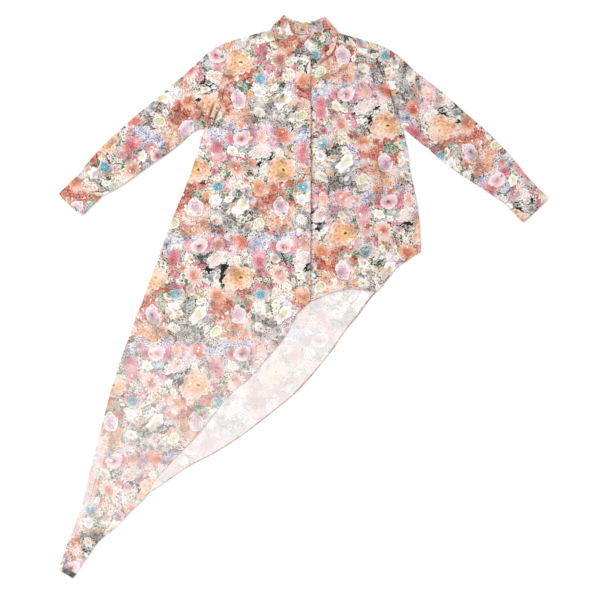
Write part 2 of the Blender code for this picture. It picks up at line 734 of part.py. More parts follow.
def make_collar_stand(collection):
    grid = []
    for row in collar_rows():
        neck, fold, _, along, _, _ = collar_parts(row)
        top = fold - along * (STAND_SHORT + STAND_SPACE)
        middle = neck.lerp(top, 0.5)
        grid.append([tuple(neck), tuple(middle), tuple(top)])
    return make_sheet("collar_stand", grid, PRINT_COLOUR, collection)


def make_collar_fall(collection):
    grid = []
    for row in collar_rows():
        _, fold, edge, along, over, thick = collar_parts(row)
        start = fold - along * STAND_SHORT
        turn = fold - along * thick / 2
        points = [start, turn]
        for k in range(1, ROLL_STEPS):
            angle = pi * k / ROLL_STEPS
            points.append(
                turn + along * sin(angle) * thick / 2 + over * (1 - cos(angle)) * thick / 2
            )
        outer = turn + over * thick
        points.append(outer)
        for t in FALL_SHARES:
            points.append(outer.lerp(edge, t))
        grid.append([tuple(p) for p in points])
    return make_sheet("collar_fall", grid, PRINT_COLOUR, collection)


def clear_scene():
    for thing in list(bpy.data.objects):
        bpy.data.objects.remove(thing, do_unlink=True)


def main():
    clear_scene()
    collection = bpy.data.collections.new("asymmetric_shirt")
    bpy.context.scene.collection.children.link(collection)
    make_back(collection)
    make_yoke(collection)
    make_front_right(collection)
    make_front_left(collection)
    make_front_band(collection)
    for name in ("right", "left"):
        make_sleeve(name, collection)
        make_cuff(name, collection)
    make_collar_stand(collection)
    make_collar_fall(collection)


main()
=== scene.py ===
from math import cos, hypot, pi, radians, sin

import bpy
import numpy as np
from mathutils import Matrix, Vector


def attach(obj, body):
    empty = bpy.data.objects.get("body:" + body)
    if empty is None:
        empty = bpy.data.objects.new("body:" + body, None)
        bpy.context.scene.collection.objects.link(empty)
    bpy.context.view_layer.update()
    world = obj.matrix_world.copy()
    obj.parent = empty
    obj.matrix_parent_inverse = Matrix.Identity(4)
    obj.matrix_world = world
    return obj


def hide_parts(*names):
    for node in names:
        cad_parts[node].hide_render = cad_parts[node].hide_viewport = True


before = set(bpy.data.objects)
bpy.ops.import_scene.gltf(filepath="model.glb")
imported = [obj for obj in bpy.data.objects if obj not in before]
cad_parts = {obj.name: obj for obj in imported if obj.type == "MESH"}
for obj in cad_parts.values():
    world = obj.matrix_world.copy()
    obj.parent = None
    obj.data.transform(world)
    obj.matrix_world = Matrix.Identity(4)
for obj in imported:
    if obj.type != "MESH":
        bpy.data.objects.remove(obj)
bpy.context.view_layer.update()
mm = 0.001  # tables are in millimetres
bpy.ops.object.select_all(action="DESELECT")
print("cut pieces loaded")


# small helpers for lengths and curves

def mix(a, b, t):
    return a + (b - a) * t


def mixAll(a, b, t):
    # the same for each number of two places or rows
    return tuple(mix(p, q, t) for p, q in zip(a, b))


def ease(low, high, value):
    t = np.clip((value - low) / (high - low), 0.0, 1.0)
    return t * t * (3.0 - 2.0 * t)


def limitedSlopes(steps, gaps):
    # slopes between steps of a curve, small enough that it never swings past its points
    before, after = steps[:-1], steps[1:]
    g0, g1 = gaps[:-1], gaps[1:]
    middle = (before * g1 + after * g0) / (g0 + g1)
    most = 2 * np.minimum(np.abs(before), np.abs(after))
    middle = np.clip(middle, -most, most)
    return np.where(before * after > 0, middle, 0.0)


def through(rows, gaps, counts):
    # a smooth curve or surface through rows, in so many steps from each to the next
    steps = np.diff(rows, axis=0) / gaps
    slopes = np.concatenate([steps[:1], limitedSlopes(steps, gaps), steps[-1:]])
    out = [rows[0]]
    for i, count in enumerate(counts):
        for k in range(1, count + 1):
            t = k / count
            h = t * t * (3 - 2 * t)
            bend = slopes[i] * t * (1 - t) ** 2 - slopes[i + 1] * t * t * (1 - t)
            out.append(rows[i] * (1 - h) + rows[i + 1] * h + bend * gaps[i])
    return np.array(out)


def denseRows(rows, step):
    # a smooth surface with a row of points about every step
    rows = np.array(rows, dtype=float)
    gaps = np.linalg.norm(np.diff(rows, axis=0), axis=2).mean(axis=1)[:, None, None]
    return through(rows, gaps, [max(1, int(round(gap / step))) for gap in gaps.ravel()])


def along(table, key, value, at):
    # one column of a table, read between its rows
    xs, ys = (np.array([row[k] for row in table], dtype=float) for k in (key, value))
    if xs[0] > xs[-1]:
        xs, ys = xs[::-1], ys[::-1]
    return np.interp(at, xs, ys)


# where the light soft folds and the sharper creases of the top layer lie:
# start, end, sideways bow, width, height (a trough where it is below zero; troughs also darken the print
# there as painted shade)
softFolds = {
    "broad": [
        (-225, 520, -185, 380, 0, 30, 3.8), (-150, 640, -130, 420, 0, 34, 3.2),
        (235, 520, 215, 400, 0, 28, 3.8), (150, 600, 170, 330, 0, 36, 3.2),
        (-250, 330, -300, 60, 0, 38, 3.8), (-120, 300, -150, 20, 0, 40, 3.2),
        (110, 300, 130, 110, 0, 40, 3.0), (240, 330, 250, 160, 0, 32, 3.2),
        (-330, 0, -400, -300, 0, 38, 4.4), (-200, -60, -330, -330, 0, 34, 3.8),
        (-440, -360, -520, -600, 0, 30, 3.6), (-262, 560, -330, 470, 0, 28, 3.8),
        (-330, 560, -460, 430, 0, 34, 3.2), (262, 560, 330, 465, 0, 28, 3.8),
        (340, 545, 470, 420, 0, 34, 3.2), (-450, 470, -560, 350, 0, 26, 2.6),
        (450, 465, 560, 345, 0, 26, 2.6),
    ],
    "creases": [
        # right armhole: narrow folds bunched beside the seam, then a fan to the underarm
        (-231, 522, -251, 462, 3, 4.6, 6.0), (-215, 512, -236, 454, 3, 5.0, 5.4),
        (-223, 511, -245, 456, 3, 2.6, -6.0), (-238.5, 525, -258, 471, 2, 2.6, -6.5),
        (-247, 524, -268, 468, 0, 5.0, 6.0), (-222, 556, -240, 522, 3, 4.5, 4.4),
        (-214, 492, -219, 470, 1, 2.4, -3.4), (-262, 520, -290, 466, -7, 5.5, 4.6),
        (-270, 512, -293, 463, -5, 2.6, -3.6), (-282, 500, -312, 455, -6, 6.0, 4.0),
        (-236, 560, -262, 515, 6, 6.5, 2.8), (-300, 522, -352, 446, -8, 9, 2.8),
        (-205, 452, -262, 430, 5, 6, 2.6), (-318, 468, -350, 430, -5, 6, 3.0),
        (-199, 530, -214, 470, 4, 8, 2.2),
        # left armhole: three softer folds down beside the seam
        (222, 566, 240, 470, -5, 5.0, 5.2), (230, 556, 248, 474, -5, 2.8, -4.0),
        (238, 556, 258, 468, -6, 5.5, 5.2), (252, 522, 262, 464, 3, 2.8, -4.6),
        (252, 545, 274, 474, 6, 5.0, 5.0), (266, 520, 292, 458, 7, 6.0, 3.6),
        (284, 520, 320, 442, 8, 8, 3.0), (214, 452, 262, 432, -5, 6, 2.6),
        (304, 556, 344, 474, 10, 10, 2.4), (206, 520, 220, 448, -4, 8, 2.0),
        (320, 462, 352, 424, 5, 6, 2.8),
        # chest and body
        (-190, 600, -175, 470, 6, 10, 2.3), (-100, 560, -88, 380, -8, 11, 1.9),
        (-60, 470, -72, 300, 6, 9, 1.6), (85, 560, 78, 400, 8, 10, 1.9),
        (195, 420, 205, 260, -6, 10, 2.3), (70, 330, 62, 190, 5, 9, 1.6),
        (160, 250, 175, 90, 7, 10, 2.1), (270, 330, 288, 190, -5, 9, 2.2),
        (-215, 380, -240, 210, 7, 10, 2.3), (-285, 300, -330, 150, -8, 11, 2.3),
        (-90, 240, -110, 70, -6, 10, 1.8), (-175, 180, -210, 10, 8, 11, 2.1),
        (-150, 430, -128, 330, -5, 8, 1.7), (130, 470, 118, 360, 5, 8, 1.7),
        (-55, 150, -75, 10, 5, 8, 1.6), (235, 190, 225, 100, -4, 8, 1.8),
        (-262, 415, -246, 330, 5, 7, 2.0), (258, 420, 240, 352, -5, 7, 2.0),
        # long side and tail
        (-360, 120, -395, -60, 8, 10, 2.5), (-262, 20, -300, -150, -9, 12, 2.3),
        (-95, 0, -140, -110, -6, 10, 1.8), (-320, -140, -365, -260, 7, 10, 2.3),
        (-420, -150, -455, -300, -7, 9, 2.5), (-480, -280, -515, -420, 6, 8, 2.3),
        (-390, -330, -440, -450, -6, 9, 2.1), (-545, -480, -570, -600, 5, 6, 2.0),
        (-585, -600, -610, -690, -3, 5, 1.6), (-240, -110, -262, -215, 5, 8, 1.8),
        (-470, -430, -500, -530, -4, 7, 1.9), (-425, 30, -440, -80, 4, 7, 1.8),
        (-340, -300, -372, -372, 4, 7, 1.8),
        # under the collar's left leaf, beside the front band, and where the back comes
        # round the tail's long edge: shallow troughs whose main work is painted shade, the shadow under the
        # leaf and dark lines at the edges
        (4, 662, 37, 622, 0, 5.0, -3.2), (-48, 640, -70, 652, 0, 3.5, -2.0),
        (21.8, 642, 21.8, 30, 0, 1.9, -3.4), (-545, -436, -600, -610, -4, 2.4, -1.9),
        # right sleeve
        (-330, 575, -380, 520, 7, 9, 2.5), (-395, 505, -452, 448, -7, 8, 2.5),
        (-372, 455, -432, 395, 6, 7, 2.8), (-470, 440, -528, 378, 7, 8, 2.4),
        (-500, 345, -555, 300, -4, 6.5, 2.4), (-545, 355, -600, 300, -5, 6, 2.6),
        (-575, 335, -618, 290, 4, 5.5, 2.0), (-312, 470, -352, 425, -5, 7, 3.0),
        (-420, 440, -436, 398, 4, 6, 2.2), (-500, 400, -478, 362, -4, 6, 2.0),
        (-372, 520, -352, 486, 4, 7, 1.8),
        # left sleeve
        (335, 570, 388, 515, -8, 9, 2.5), (400, 500, 455, 440, 7, 8, 2.5),
        (365, 445, 425, 385, -6, 7, 2.8), (468, 430, 525, 372, -7, 8, 2.4),
        (505, 335, 552, 290, 5, 6.5, 2.4), (545, 350, 598, 292, 5, 6, 2.6),
        (312, 462, 350, 415, 5, 7, 3.0), (560, 330, 612, 280, -4, 5.5, 2.0),
        (415, 436, 430, 392, -4, 6, 2.2), (492, 396, 470, 356, 4, 6, 2.0),
        (368, 514, 350, 480, -4, 7, 1.8),
        # yoke and shoulders
        (-175, 690, -150, 655, 4, 9, 1.4), (150, 686, 132, 650, -4, 9, 1.4),
    ],
    "crumple": 0.34, "tallest": 7.5,
}


def foldField(x, y, deepOnly=False):
    # how far the folds raise the top layer at these places, or how deep the narrow troughs are
    total = np.zeros_like(x)
    for kind in ("creases",) if deepOnly else ("broad", "creases"):
        for x0, y0, x1, y1, bow, width, height in softFolds[kind]:
            if deepOnly and height > 0:
                continue
            dx, dy = x1 - x0, y1 - y0
            length = hypot(dx, dy)
            t = ((x - x0) * dx + (y - y0) * dy) / length ** 2
            inside = np.clip(t, 0.0, 1.0)
            side = ((x - x0) * dy - (y - y0) * dx) / length - bow * np.sin(pi * inside)
            away = np.hypot(side, (t - inside) * length)
            if kind == "broad":
                total += height * np.sin(pi * (0.15 + 0.7 * inside)) * np.exp(-(away / width) ** 2)
            else:  # a crease has one steeper side
                lean = np.where(side > 0, width * 0.6, width * 1.5)
                shape = np.exp(-np.abs(away / lean) ** 1.6)
                total += height * np.sin(pi * (0.06 + 0.88 * inside)) ** 0.8 * shape
    if deepOnly:
        return total
    most = softFolds["tallest"]  # folds that meet don't pile up past this
    total = np.where(total > 0, most * np.tanh(total / most), total)
    return total + softFolds["crumple"] * crumple(x, y)


def crumple(x, y):
    # small unevenness of light cotton after it was worn
    a = np.sin(x / 7.3 + 2.3 * np.sin(y / 39.0) + 0.6 * np.sin(y / 11.0))
    b = np.sin(y / 12.7 + 1.9 * np.sin(x / 33.0 + 1.0))
    c = np.sin((x + 0.6 * y) / 17.0 + 1.6 * np.sin((y - x) / 47.0))
    d = np.sin((0.5 * x - y) / 9.6 + 2.0 * np.sin((x + y) / 61.0))
    patch = 0.5 + 0.5 * np.sin(x / 83.0 + 1.3 * np.sin(y / 97.0))
    return (a * b + c * d) * (0.5 + 0.9 * patch) + 0.8 * c * b


# the shirt's outline, the same seams that its solids have
outline = {
    # y, right x, left x, top of the front layer: armhole seams from the shoulder down
    "armhole": [
        (660, -199, 203, 6.5), (625, -211, 213, 6.7), (590, -219, 224, 6.8),
        (555, -228, 235, 6.8), (520, -232, 245, 6.7), (490, -237, 250, 6.5),
        (468, -248, 256, 6.2),
    ],
    "shoulderTip": {"right": (-194.0, 690.0), "left": (198.5, 682.0)},
    "armpit": {"right": (-266.0, 452.0), "left": (267.0, 452.0)},
    # y, long side x, end of the front, end of the back, top of the left front at the middle
    "body": [
        (452, -266, 267, 267, 6.4), (444, -269, 270, 270, 6.4), (400, -283, 280, 280, 6.4),
        (340, -302, 288, 288, 6.4), (280, -324, 301, 301, 6.3), (220, -349, 311, 311, 6.3),
        (165, -370, 315, 315, 6.2), (131, -382, 316, 316, 6.1), (122, -385, 316, 316, 6.1),
        (112, -388, 301, 301, 6.0), (99, -392, 282, 282, 5.9), (76, -401, 250, 250, 5.8),
        (52, -410, 230, 230, 5.6), (27, -420, 210, 211, 5.3), (4, -429, 65, 188, 5.0),
        (-20, -437, -21, 169, 4.5), (-49, -449, -21, 149, 4.2), (-76, -459, -32, 126, 4.2),
        (-105, -469, -48, 104, 4.2), (-140, -482, -76, 81, 4.2), (-180, -496, -112, 49, 4.2),
        (-220, -509, -146, 16, 4.2), (-260, -521, -192, -22, 4.2), (-300, -532, -228, -70, 4.2),
        (-340, -542, -260, -120, 4.2), (-380, -552, -293, -174, 4.2),
        (-395, -556, -307, -197, 4.2), (-408, -560, -320, -218, 4.2),
        (-420, -563, -332, -238, 4.2), (-460, -574, -368, -313, 4.2),
        (-500, -584, -403, -371, 4.2), (-540, -593, -426, -428, 4.2),
        (-580, -604, -467, -469, 4.2), (-620, -618, -503, -505, 4.2),
        (-660, -634, -551, -553, 4.2), (-700, -648, -580, -582, 4.2),
    ],
    "tailEnd": ((-660.0, -737.0), (-622.0, -760.0)),
    # inner ends of the fronts' upper rows: x, y, top, and how much lower a hidden corner is
    "neckRight": [
        (-55.5, 696, 6.6), (-47, 672.5, 7.0), (-30, 657, 7.6), (-21, 652.5, 8.1),
        (-21, 610, 8.1), (-21, 560, 8.1), (-21, 505, 8.1),
    ],
    "neckLeft": [
        (58, 694, 6.6, 0), (49, 671, 6.5, 0), (31, 656, 6.4, 0), (-19.5, 648, 6.4, 18),
        (-19.5, 600, 6.4, 0), (-19.5, 550, 6.4, 0), (-19.5, 500, 6.4, 0),
    ],
    "shortCorner": 122, "shortCornerHeight": 4.6, "bandFoot": -49, "shoulderHeight": 6.4,
    # where the left front's hem leaves the back's, where it meets the band, how it arches between
    "hemTurn": (195.0, 12.0), "hemFoot": (22.4, -10.5), "hemArch": 18.0, "hemRound": 1.3,
    "hemLow": 1.8, "hemWave": 1.1, "hemWaveLength": 34.0,
}
yokeSeamY = outline["armhole"][0][0]

sheets = {
    "wall": 0.7,       # thickness of one layer as shown
    "spacing": 5.6,    # size of the weave of points
    "fold": 5.6,       # height of a side fold
    "upright": 0.8,    # straight part each side of its seam
    "edgeSteps": 12,   # columns of points at a fold or an open edge
    "edgeWidth": 8.0,  # how wide they lie at an open edge
    "tailWrap": 9.8,   # how far the back rolls over the tail's long edge
    "seam": 0.16,      # between two pieces at a seam
    "pastSeam": 3.0,   # least way from a front's seam to its flat part
    "layer": 1.7,      # from the top of one layer to the top of the next
}


def sideFold(edgeX, side, arc, height):
    # x and height at one point round a side fold, so far along it from its middle
    radius = height / 2 - sheets["upright"]
    quarter = radius * pi / 2
    past = max(abs(arc) - sheets["upright"], 0.0)
    angle = min(past, quarter) / radius
    inside = radius * (1 - cos(angle)) + max(past - quarter, 0.0)
    rise = min(abs(arc), sheets["upright"]) + radius * sin(angle)
    return edgeX - side * inside, height / 2 + (rise if arc > 0 else -rise)


def foldedEdge(edgeX, side, layer, arc=0.0, height=sheets["fold"]):
    # from flat cloth to the seam
    full = sheets["upright"] + (height / 2 - sheets["upright"]) * pi / 2
    if layer == "back":
        start, stop = -full, arc - sheets["seam"] / 2
    else:
        stop = arc + sheets["seam"] / 2
        start = max(full, stop + sheets["pastSeam"])
    shares = [k / sheets["edgeSteps"] for k in range(sheets["edgeSteps"] + 1)]
    return [sideFold(edgeX, side, mix(start, stop, t), height) for t in shares]


def openEdge(edgeX, side, z):
    # flat cloth out to a cut edge
    shares = [k / sheets["edgeSteps"] for k in range(sheets["edgeSteps"] + 1)]
    return [(edgeX - side * sheets["edgeWidth"] * (1 - t), z) for t in shares]


def seamArc(y):
    # how far along its fold the side seam lies, where the back comes round the tail
    return sheets["tailWrap"] * float(ease(-380, -440, y))


def hemTop(y):
    # height of a front at its open hem
    wave = 1 + sin(y / outline["hemWaveLength"])
    return outline["hemLow"] + outline["hemWave"] * wave * float(ease(-620, -560, y))


def hemRise(share):
    # how far in y the left front's hem arches between its two ends
    return outline["hemArch"] * sin(pi * min(max(share, 0.0), 1.0)) ** outline["hemRound"]


def centreTop(y):
    # height of the left front at the middle
    return float(along(outline["body"], 0, 4, y))


def sideEdge(row, name, layer):
    # the outer edge of the back or of a front, folded or cut
    y, right, front, back = row[:4]
    if name == "right":
        return foldedEdge(right, -1, layer, seamArc(y))
    edge = back if layer == "back" else front
    if y < outline["shortCorner"]:
        return openEdge(edge, 1, 0.0 if layer == "back" else hemTop(y))
    height = outline["shortCornerHeight"] if y == outline["shortCorner"] else sheets["fold"]
    return foldedEdge(edge, 1, layer, height=height)


def tailEndY(x):
    # the tail's end slants between its two corners
    (x0, y0), (x1, y1) = outline["tailEnd"]
    return mix(y0, y1, min(max((x - x0) / (x1 - x0), 0.0), 1.0))


# cloth sheets

grids = {}  # each sheet's points, by name, for what is sewn to it


def runs(gaps):
    # how far along its row each point is, from the gaps between them
    return np.concatenate([np.zeros((len(gaps), 1)), np.cumsum(gaps, axis=1)], axis=1)


def flatPlaces(grid):
    # where each point lies on the flat cut: across by its way along the row, down row by row
    across = runs(np.linalg.norm(np.diff(grid, axis=1), axis=2))
    down = np.linalg.norm(np.diff(grid, axis=0), axis=2).mean(axis=1)
    down = np.concatenate([[0.0], np.cumsum(down)])
    return np.stack([across, np.repeat(down[:, None], across.shape[1], axis=1)], axis=2)


def bodyPlaces(grid):
    # x and y of the body's own flat cut, with the side folds rolled out
    across = runs(np.hypot(np.diff(grid[:, :, 0], axis=1), np.diff(grid[:, :, 2], axis=1)))
    middle = grid.shape[1] // 2
    sign = np.sign(grid[:, -1, 0] - grid[:, 0, 0])[:, None]
    u = grid[:, middle:middle + 1, 0] + sign * (across - across[:, middle:middle + 1])
    return np.stack([u, grid[:, :, 1]], axis=2)


cutOnPrint = {  # metres along and across the printed cloth, so that flowers break at the seams
    "back_cloth": (0.02, -0.035), "yoke_cloth": (0.151, 0.083), "front_right_cloth": (0.0, 0.0),
    "front_left_cloth": (0.064, 0.171), "front_band_cloth": (0.0, 0.0),
    "sleeve_right_cloth": (0.03, 0.21), "sleeve_left_cloth": (0.18, 0.05),
    "cuff_right_cloth": (0.19, 0.229), "cuff_left_cloth": (0.14, 0.31),
    "back_hem_cloth": (0.052, 0.03), "tail_hem_cloth": (0.07, 0.245),
    "collar_stand_cloth": (0.05, 0.165), "collar_fall_cloth": (0.118, 0.245),
}


# painted light and shade on the print, from place to place: paler where glare washed out the tail, darker
# on the short side, the collar and the creases' troughs
paintedTones = {"tail": 0.27, "tailStrip": 0.34, "shortSideShade": 0.09, "collar": 0.1, "trough": 6.0, "deepest": 0.8}


def paintedPaleness(x, y):
    # painted glare: paler down the tail; most on the strip where the back comes round its long edge, which
    # marks that piece but is painted glare too
    edge, wide = along(outline["body"], 0, 1, y), 10 + 20 * ease(-660, -480, y)
    strip = paintedTones["tailStrip"] * ease(-330, -450, y) * ease(wide + 2, wide - 2, x - edge)
    return (paintedTones["tail"] * ease(90, -300, y) + strip) * ease(-668, -600, y)


def depth(x, y):
    # painted shade: a little darker on the short side and the sleeve beside it
    return paintedTones["shortSideShade"] * ease(-40, 110, x) * ease(20, 120, y)


def paintedLightOf(name, grid):
    # above zero painted glare makes the print paler, below zero painted shade makes it darker: on the short
    # side, on the collar and in the creases' troughs
    x, y, z = grid[:, :, 0], grid[:, :, 1], grid[:, :, 2]
    if name == "tail_hem_cloth":
        return np.zeros_like(x)
    # the whole collar a little darker: painted shade
    if "collar" in name:
        return np.full_like(x, -paintedTones["collar"])
    tone = paintedPaleness(x, y)
    if name.startswith(("front", "sleeve")):  # its upper layer only
        # painted shade in the creases' troughs, on the upper layer only
        troughs = foldField(x, y, True) / paintedTones["trough"]
        tone = tone + np.maximum(troughs, -paintedTones["deepest"]) * (z > 2.5)
    return tone if name == "back_cloth" else tone - depth(x, y)


def clothMesh(name, grid, places, closed=False, flip=False, hole=None):
    # a sheet through a grid of points, with its flat cut and its tone of painted light and shade
    rows, columns = grid.shape[:2]
    faces, corners = [], []
    for i in range(rows - 1):
        for j in range(columns if closed else columns - 1):
            if hole is not None and hole(i, j):
                continue
            k = (j + 1) % columns
            quad = [(i, j, j), (i, k, j + 1), (i + 1, k, j + 1), (i + 1, j, j)]
            if not flip:
                quad = quad[::-1]
            faces.append([r * columns + c for r, c, _ in quad])
            corners += [(r, u) for r, _, u in quad]
    mesh = bpy.data.meshes.new(name)
    mesh.from_pydata((grid.reshape(-1, 3) * mm).tolist(), [], faces)
    layer = mesh.uv_layers.new(name="cut")
    flat = np.array([places[r, u] for r, u in corners]) * mm + np.array(cutOnPrint[name])
    layer.data.foreach_set("uv", flat.astype(np.float32).ravel())
    tone = mesh.attributes.new("tone", "FLOAT", "POINT")
    tone.data.foreach_set("value", paintedLightOf(name, grid).astype(np.float32).ravel())
    mesh.update()
    piece = bpy.data.objects.new(name, mesh)
    bpy.context.scene.collection.objects.link(piece)
    grids[name] = grid
    return piece


def useOnly(pieces):
    bpy.ops.object.select_all(action="DESELECT")
    for piece in pieces:
        piece.select_set(True)
    bpy.context.view_layer.objects.active = pieces[0]


def inEditMode(*steps):
    # edit steps on every point of the piece in use
    bpy.ops.object.mode_set(mode="EDIT")
    bpy.ops.mesh.select_all(action="SELECT")
    for step in steps:
        step()
    bpy.ops.object.mode_set(mode="OBJECT")


def thicken(piece, outer, inner, wall=None):
    # a wall inwards from the side that shows
    piece.data.materials.append(outer)
    piece.data.materials.append(inner)
    useOnly([piece])
    solid = piece.modifiers.new("wall", "SOLIDIFY")
    solid.thickness = (wall or sheets["wall"]) * mm
    solid.offset = -1.0
    solid.material_offset = 1
    bpy.ops.object.modifier_apply(modifier="wall")
    bpy.ops.object.shade_smooth_by_angle(angle=radians(50))
    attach(piece, "root")


def finishCloth(piece, node, outer, inner, wall=None, trims=()):
    # wall, node and trims of one cloth piece
    thicken(piece, outer, inner, wall)
    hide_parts(node)
    added = [made for trim in trims for made in trim(piece)]


# hems and sewing

trimming = {
    "hemColumns": 6, "hemWall": 0.45, "hemLift": 0.55,  # of the back's edge, mm, mm
    "hemRise": (0.0, 0.30, 0.42, 0.42, 0.36, 0.2, -0.25), "hemStart": 114, "hemOut": 0.35,
    "tailHem": 15.0, "tailHemShares": (0.0, 0.12, 0.35, 0.65, 0.88, 1.0), "tailHemSlant": 0.12,
    "tailHemColumns": 15, "tailHemLift": 0.55, "tailHemRound": 0.35, "tailTop": 4.0,
    "stitch": 2.3, "pitch": 3.1, "thread": 0.26, "proud": 0.12,
    # how far the rows lie from an open edge, the band's edges, an armhole and the yoke's seam
    "fromEdge": 3.6, "bandInset": 2.8, "armholeInset": 6, "yokeInset": 3.2, "sewnTo": -690,
}


def stitchRow(points):
    # a row of stitches along points in millimetres: one stitch, an array of it and a curve
    points = [Vector(p) * mm for p in points]
    length = sum((b - a).length for a, b in zip(points, points[1:]))
    bpy.ops.object.select_all(action="DESELECT")
    bpy.ops.curve.primitive_nurbs_path_add(location=(0, 0, 0))
    path = bpy.context.object
    path.data.splines.clear()
    line = path.data.splines.new("POLY")
    line.points.add(len(points) - 1)
    for point, place in zip(line.points, points):
        point.co = (*place, 1.0)
    path.data.twist_mode = "Z_UP"
    bpy.ops.object.select_all(action="DESELECT")
    bpy.ops.mesh.primitive_uv_sphere_add(segments=6, ring_count=4, radius=1.0, location=(0, 0, 0))
    row = bpy.context.object
    pitch, thread = trimming["pitch"] * mm, trimming["thread"] * mm
    row.scale = (trimming["stitch"] * mm / 2, thread * 1.2, thread)
    bpy.ops.object.transform_apply(location=False, rotation=False, scale=True)
    inEditMode(lambda: bpy.ops.transform.translate(value=(pitch / 2, 0, 0)))
    copies = row.modifiers.new("copies", "ARRAY")
    copies.use_relative_offset, copies.use_constant_offset = False, True
    copies.constant_offset_displace = (pitch, 0, 0)
    copies.count = max(2, int(length / pitch))
    lie = row.modifiers.new("lie", "CURVE")
    lie.object = path
    for modifier in ("copies", "lie"):
        bpy.ops.object.modifier_apply(modifier=modifier)
    bpy.data.objects.remove(path)
    return row


def sewing(name, rows):
    # all the stitch rows of one piece, joined
    made = [stitchRow(points) for points in rows]
    useOnly(made)
    if len(made) > 1:
        bpy.ops.object.join()
    piece = bpy.context.object
    piece.name = piece.data.name = name
    piece.data.materials.append(threadLook)
    bpy.ops.object.shade_smooth()
    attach(piece, "root")
    return piece


def topAt(piece, x, y, past=None):
    # the height of a piece's top at one place, or what is given for past its edge
    hit, spot, _, _ = piece.ray_cast(Vector((x * mm, y * mm, 0.2)), Vector((0, 0, -1)))
    return spot.z / mm if hit else past


def onTop(piece, places, step=5.0):
    # points every few millimetres along a way over a piece, just proud of its top
    places = [np.array(p, dtype=float) for p in places]
    points = []
    for a, b in zip(places, places[1:]):
        count = max(1, int(np.linalg.norm(b - a) / step))
        points += [mix(a, b, k / count) for k in range(count)]
    tops = [(x, y, topAt(piece, x, y)) for x, y in points + places[-1:]]
    return [(x, y, z + trimming["proud"]) for x, y, z in tops if z is not None]


def insetWay(places, inward):
    # the same way moved sideways by so many millimetres, to the left where it is positive
    p = np.array(places, dtype=float)
    d = np.gradient(p, axis=0)
    d /= np.linalg.norm(d, axis=1, keepdims=True)
    return p + np.stack([-d[:, 1], d[:, 0]], axis=1) * inward


def backHem(piece):
    # the back's hem, turned up on its wrong side, so that its print shows
    back = grids["back_cloth"]
    grid = back[back[:, -1, 1] < trimming["hemStart"]][:, -trimming["hemColumns"] - 1:, :].copy()
    grid[:, :, 2] += sheets["wall"] + trimming["hemLift"] + np.array(trimming["hemRise"])[None, :]
    grid[:, -1, 0] += trimming["hemOut"]
    hem = clothMesh("back_hem_cloth", grid, flatPlaces(grid) * (1, -1))
    thicken(hem, hemCloth, hemCloth, trimming["hemWall"])
    line = [tuple(p) for p in grid[::2, 1, :] + np.array([0.0, 0.0, 0.22])]
    return [hem, sewing("back_hem_sewing", [line])]


def tailHem(piece):
    # a narrow hem across the tail's end
    (x0, y0), (x1, y1) = outline["tailEnd"]
    a, b = np.array([x0 + 0.6, y0 - 0.2]), np.array([x1 - 0.4, y1 + 0.2])
    way = (b - a) / np.linalg.norm(b - a)
    slant = np.array([-way[1], way[0]]) + way * trimming["tailHemSlant"]
    grid = []
    for s in trimming["tailHemShares"]:
        row = []
        for t in np.linspace(0, 1, trimming["tailHemColumns"]):
            x, y = mix(a, b, t) + slant * trimming["tailHem"] * s
            z = topAt(piece, x, y, past=trimming["tailTop"])
            row.append((x, y, z + trimming["tailHemLift"] + trimming["tailHemRound"] * sin(pi * s) ** 0.6))
        grid.append(row)
    grid = np.array(grid)
    hem = clothMesh("tail_hem_cloth", grid, flatPlaces(grid), flip=True)
    thicken(hem, darkHemCloth, darkHemCloth, trimming["hemWall"])
    line = [tuple(p) for p in grid[4, 1:-1] + np.array([0.0, 0.0, 0.15])]
    return [hem, sewing("tail_hem_sewing", [line])]


def overFold(x, y, low, high, steps=8):
    # round the shoulder fold at one x, from the back layer to the front layer
    r = (high - low) / 2
    turns = [-pi / 2 + pi * k / steps for k in range(steps + 1)]
    return [(x, y - r + r * cos(a), low + r + r * sin(a)) for a in turns]


# back panel: lies on the floor, wrong side up where it shows past the front hem
backPanel = {"columns": 112, "waveHeight": 1.5, "waveLength": 92.0}


def backWaves(x, y):
    # soft waves where nothing lies on the back
    edge = along(outline["body"], 0, 2, y)
    bare = ease(4, 46, x - edge) * ease(122, 96, y) * ease(-560, -500, y)
    slant = 0.62 * x - 0.78 * y
    wave = 0.5 + 0.5 * np.sin(slant / backPanel["waveLength"] * 2 * pi + 0.9 * np.sin(x / 70))
    wave += 0.35 * (0.5 + 0.5 * np.sin((x + 0.4 * y) / 37.0))
    return backPanel["waveHeight"] * bare * wave


def backRow(y, right, left):
    # one row of the back, from edge to edge
    count = backPanel["columns"] + 1
    middle = [(mix(right[0][0], left[0][0], k / count), 0.0) for k in range(1, count)]
    return [(x, y, z) for x, z in right[::-1] + middle + left]


def makeBack(node):
    y, right, left, _ = outline["armhole"][2]
    rows = [backRow(y - sheets["seam"], openEdge(right, -1, 0.0), openEdge(left, 1, 0.0))]
    for y, right, left, _ in outline["armhole"][3:]:
        rows.append(backRow(y, openEdge(right, -1, 0.0), openEdge(left, 1, 0.0)))
    for r in outline["body"]:
        rows.append(backRow(r[0], sideEdge(r, "right", "back"), sideEdge(r, "left", "back")))
    (x0, y0), (x1, _) = outline["tailEnd"]
    end = backRow(y0, foldedEdge(x0, -1, "back", seamArc(y0)), openEdge(x1, 1, 0.0))
    rows.append([(x, tailEndY(x), z) for x, y, z in end])
    grid = denseRows(rows, sheets["spacing"])
    places, past = bodyPlaces(grid), sheets["edgeSteps"] + 1
    grid[:, past:, 2] += backWaves(grid[:, past:, 0], grid[:, past:, 1])
    return clothMesh(node + "_cloth", grid, places, flip=True)


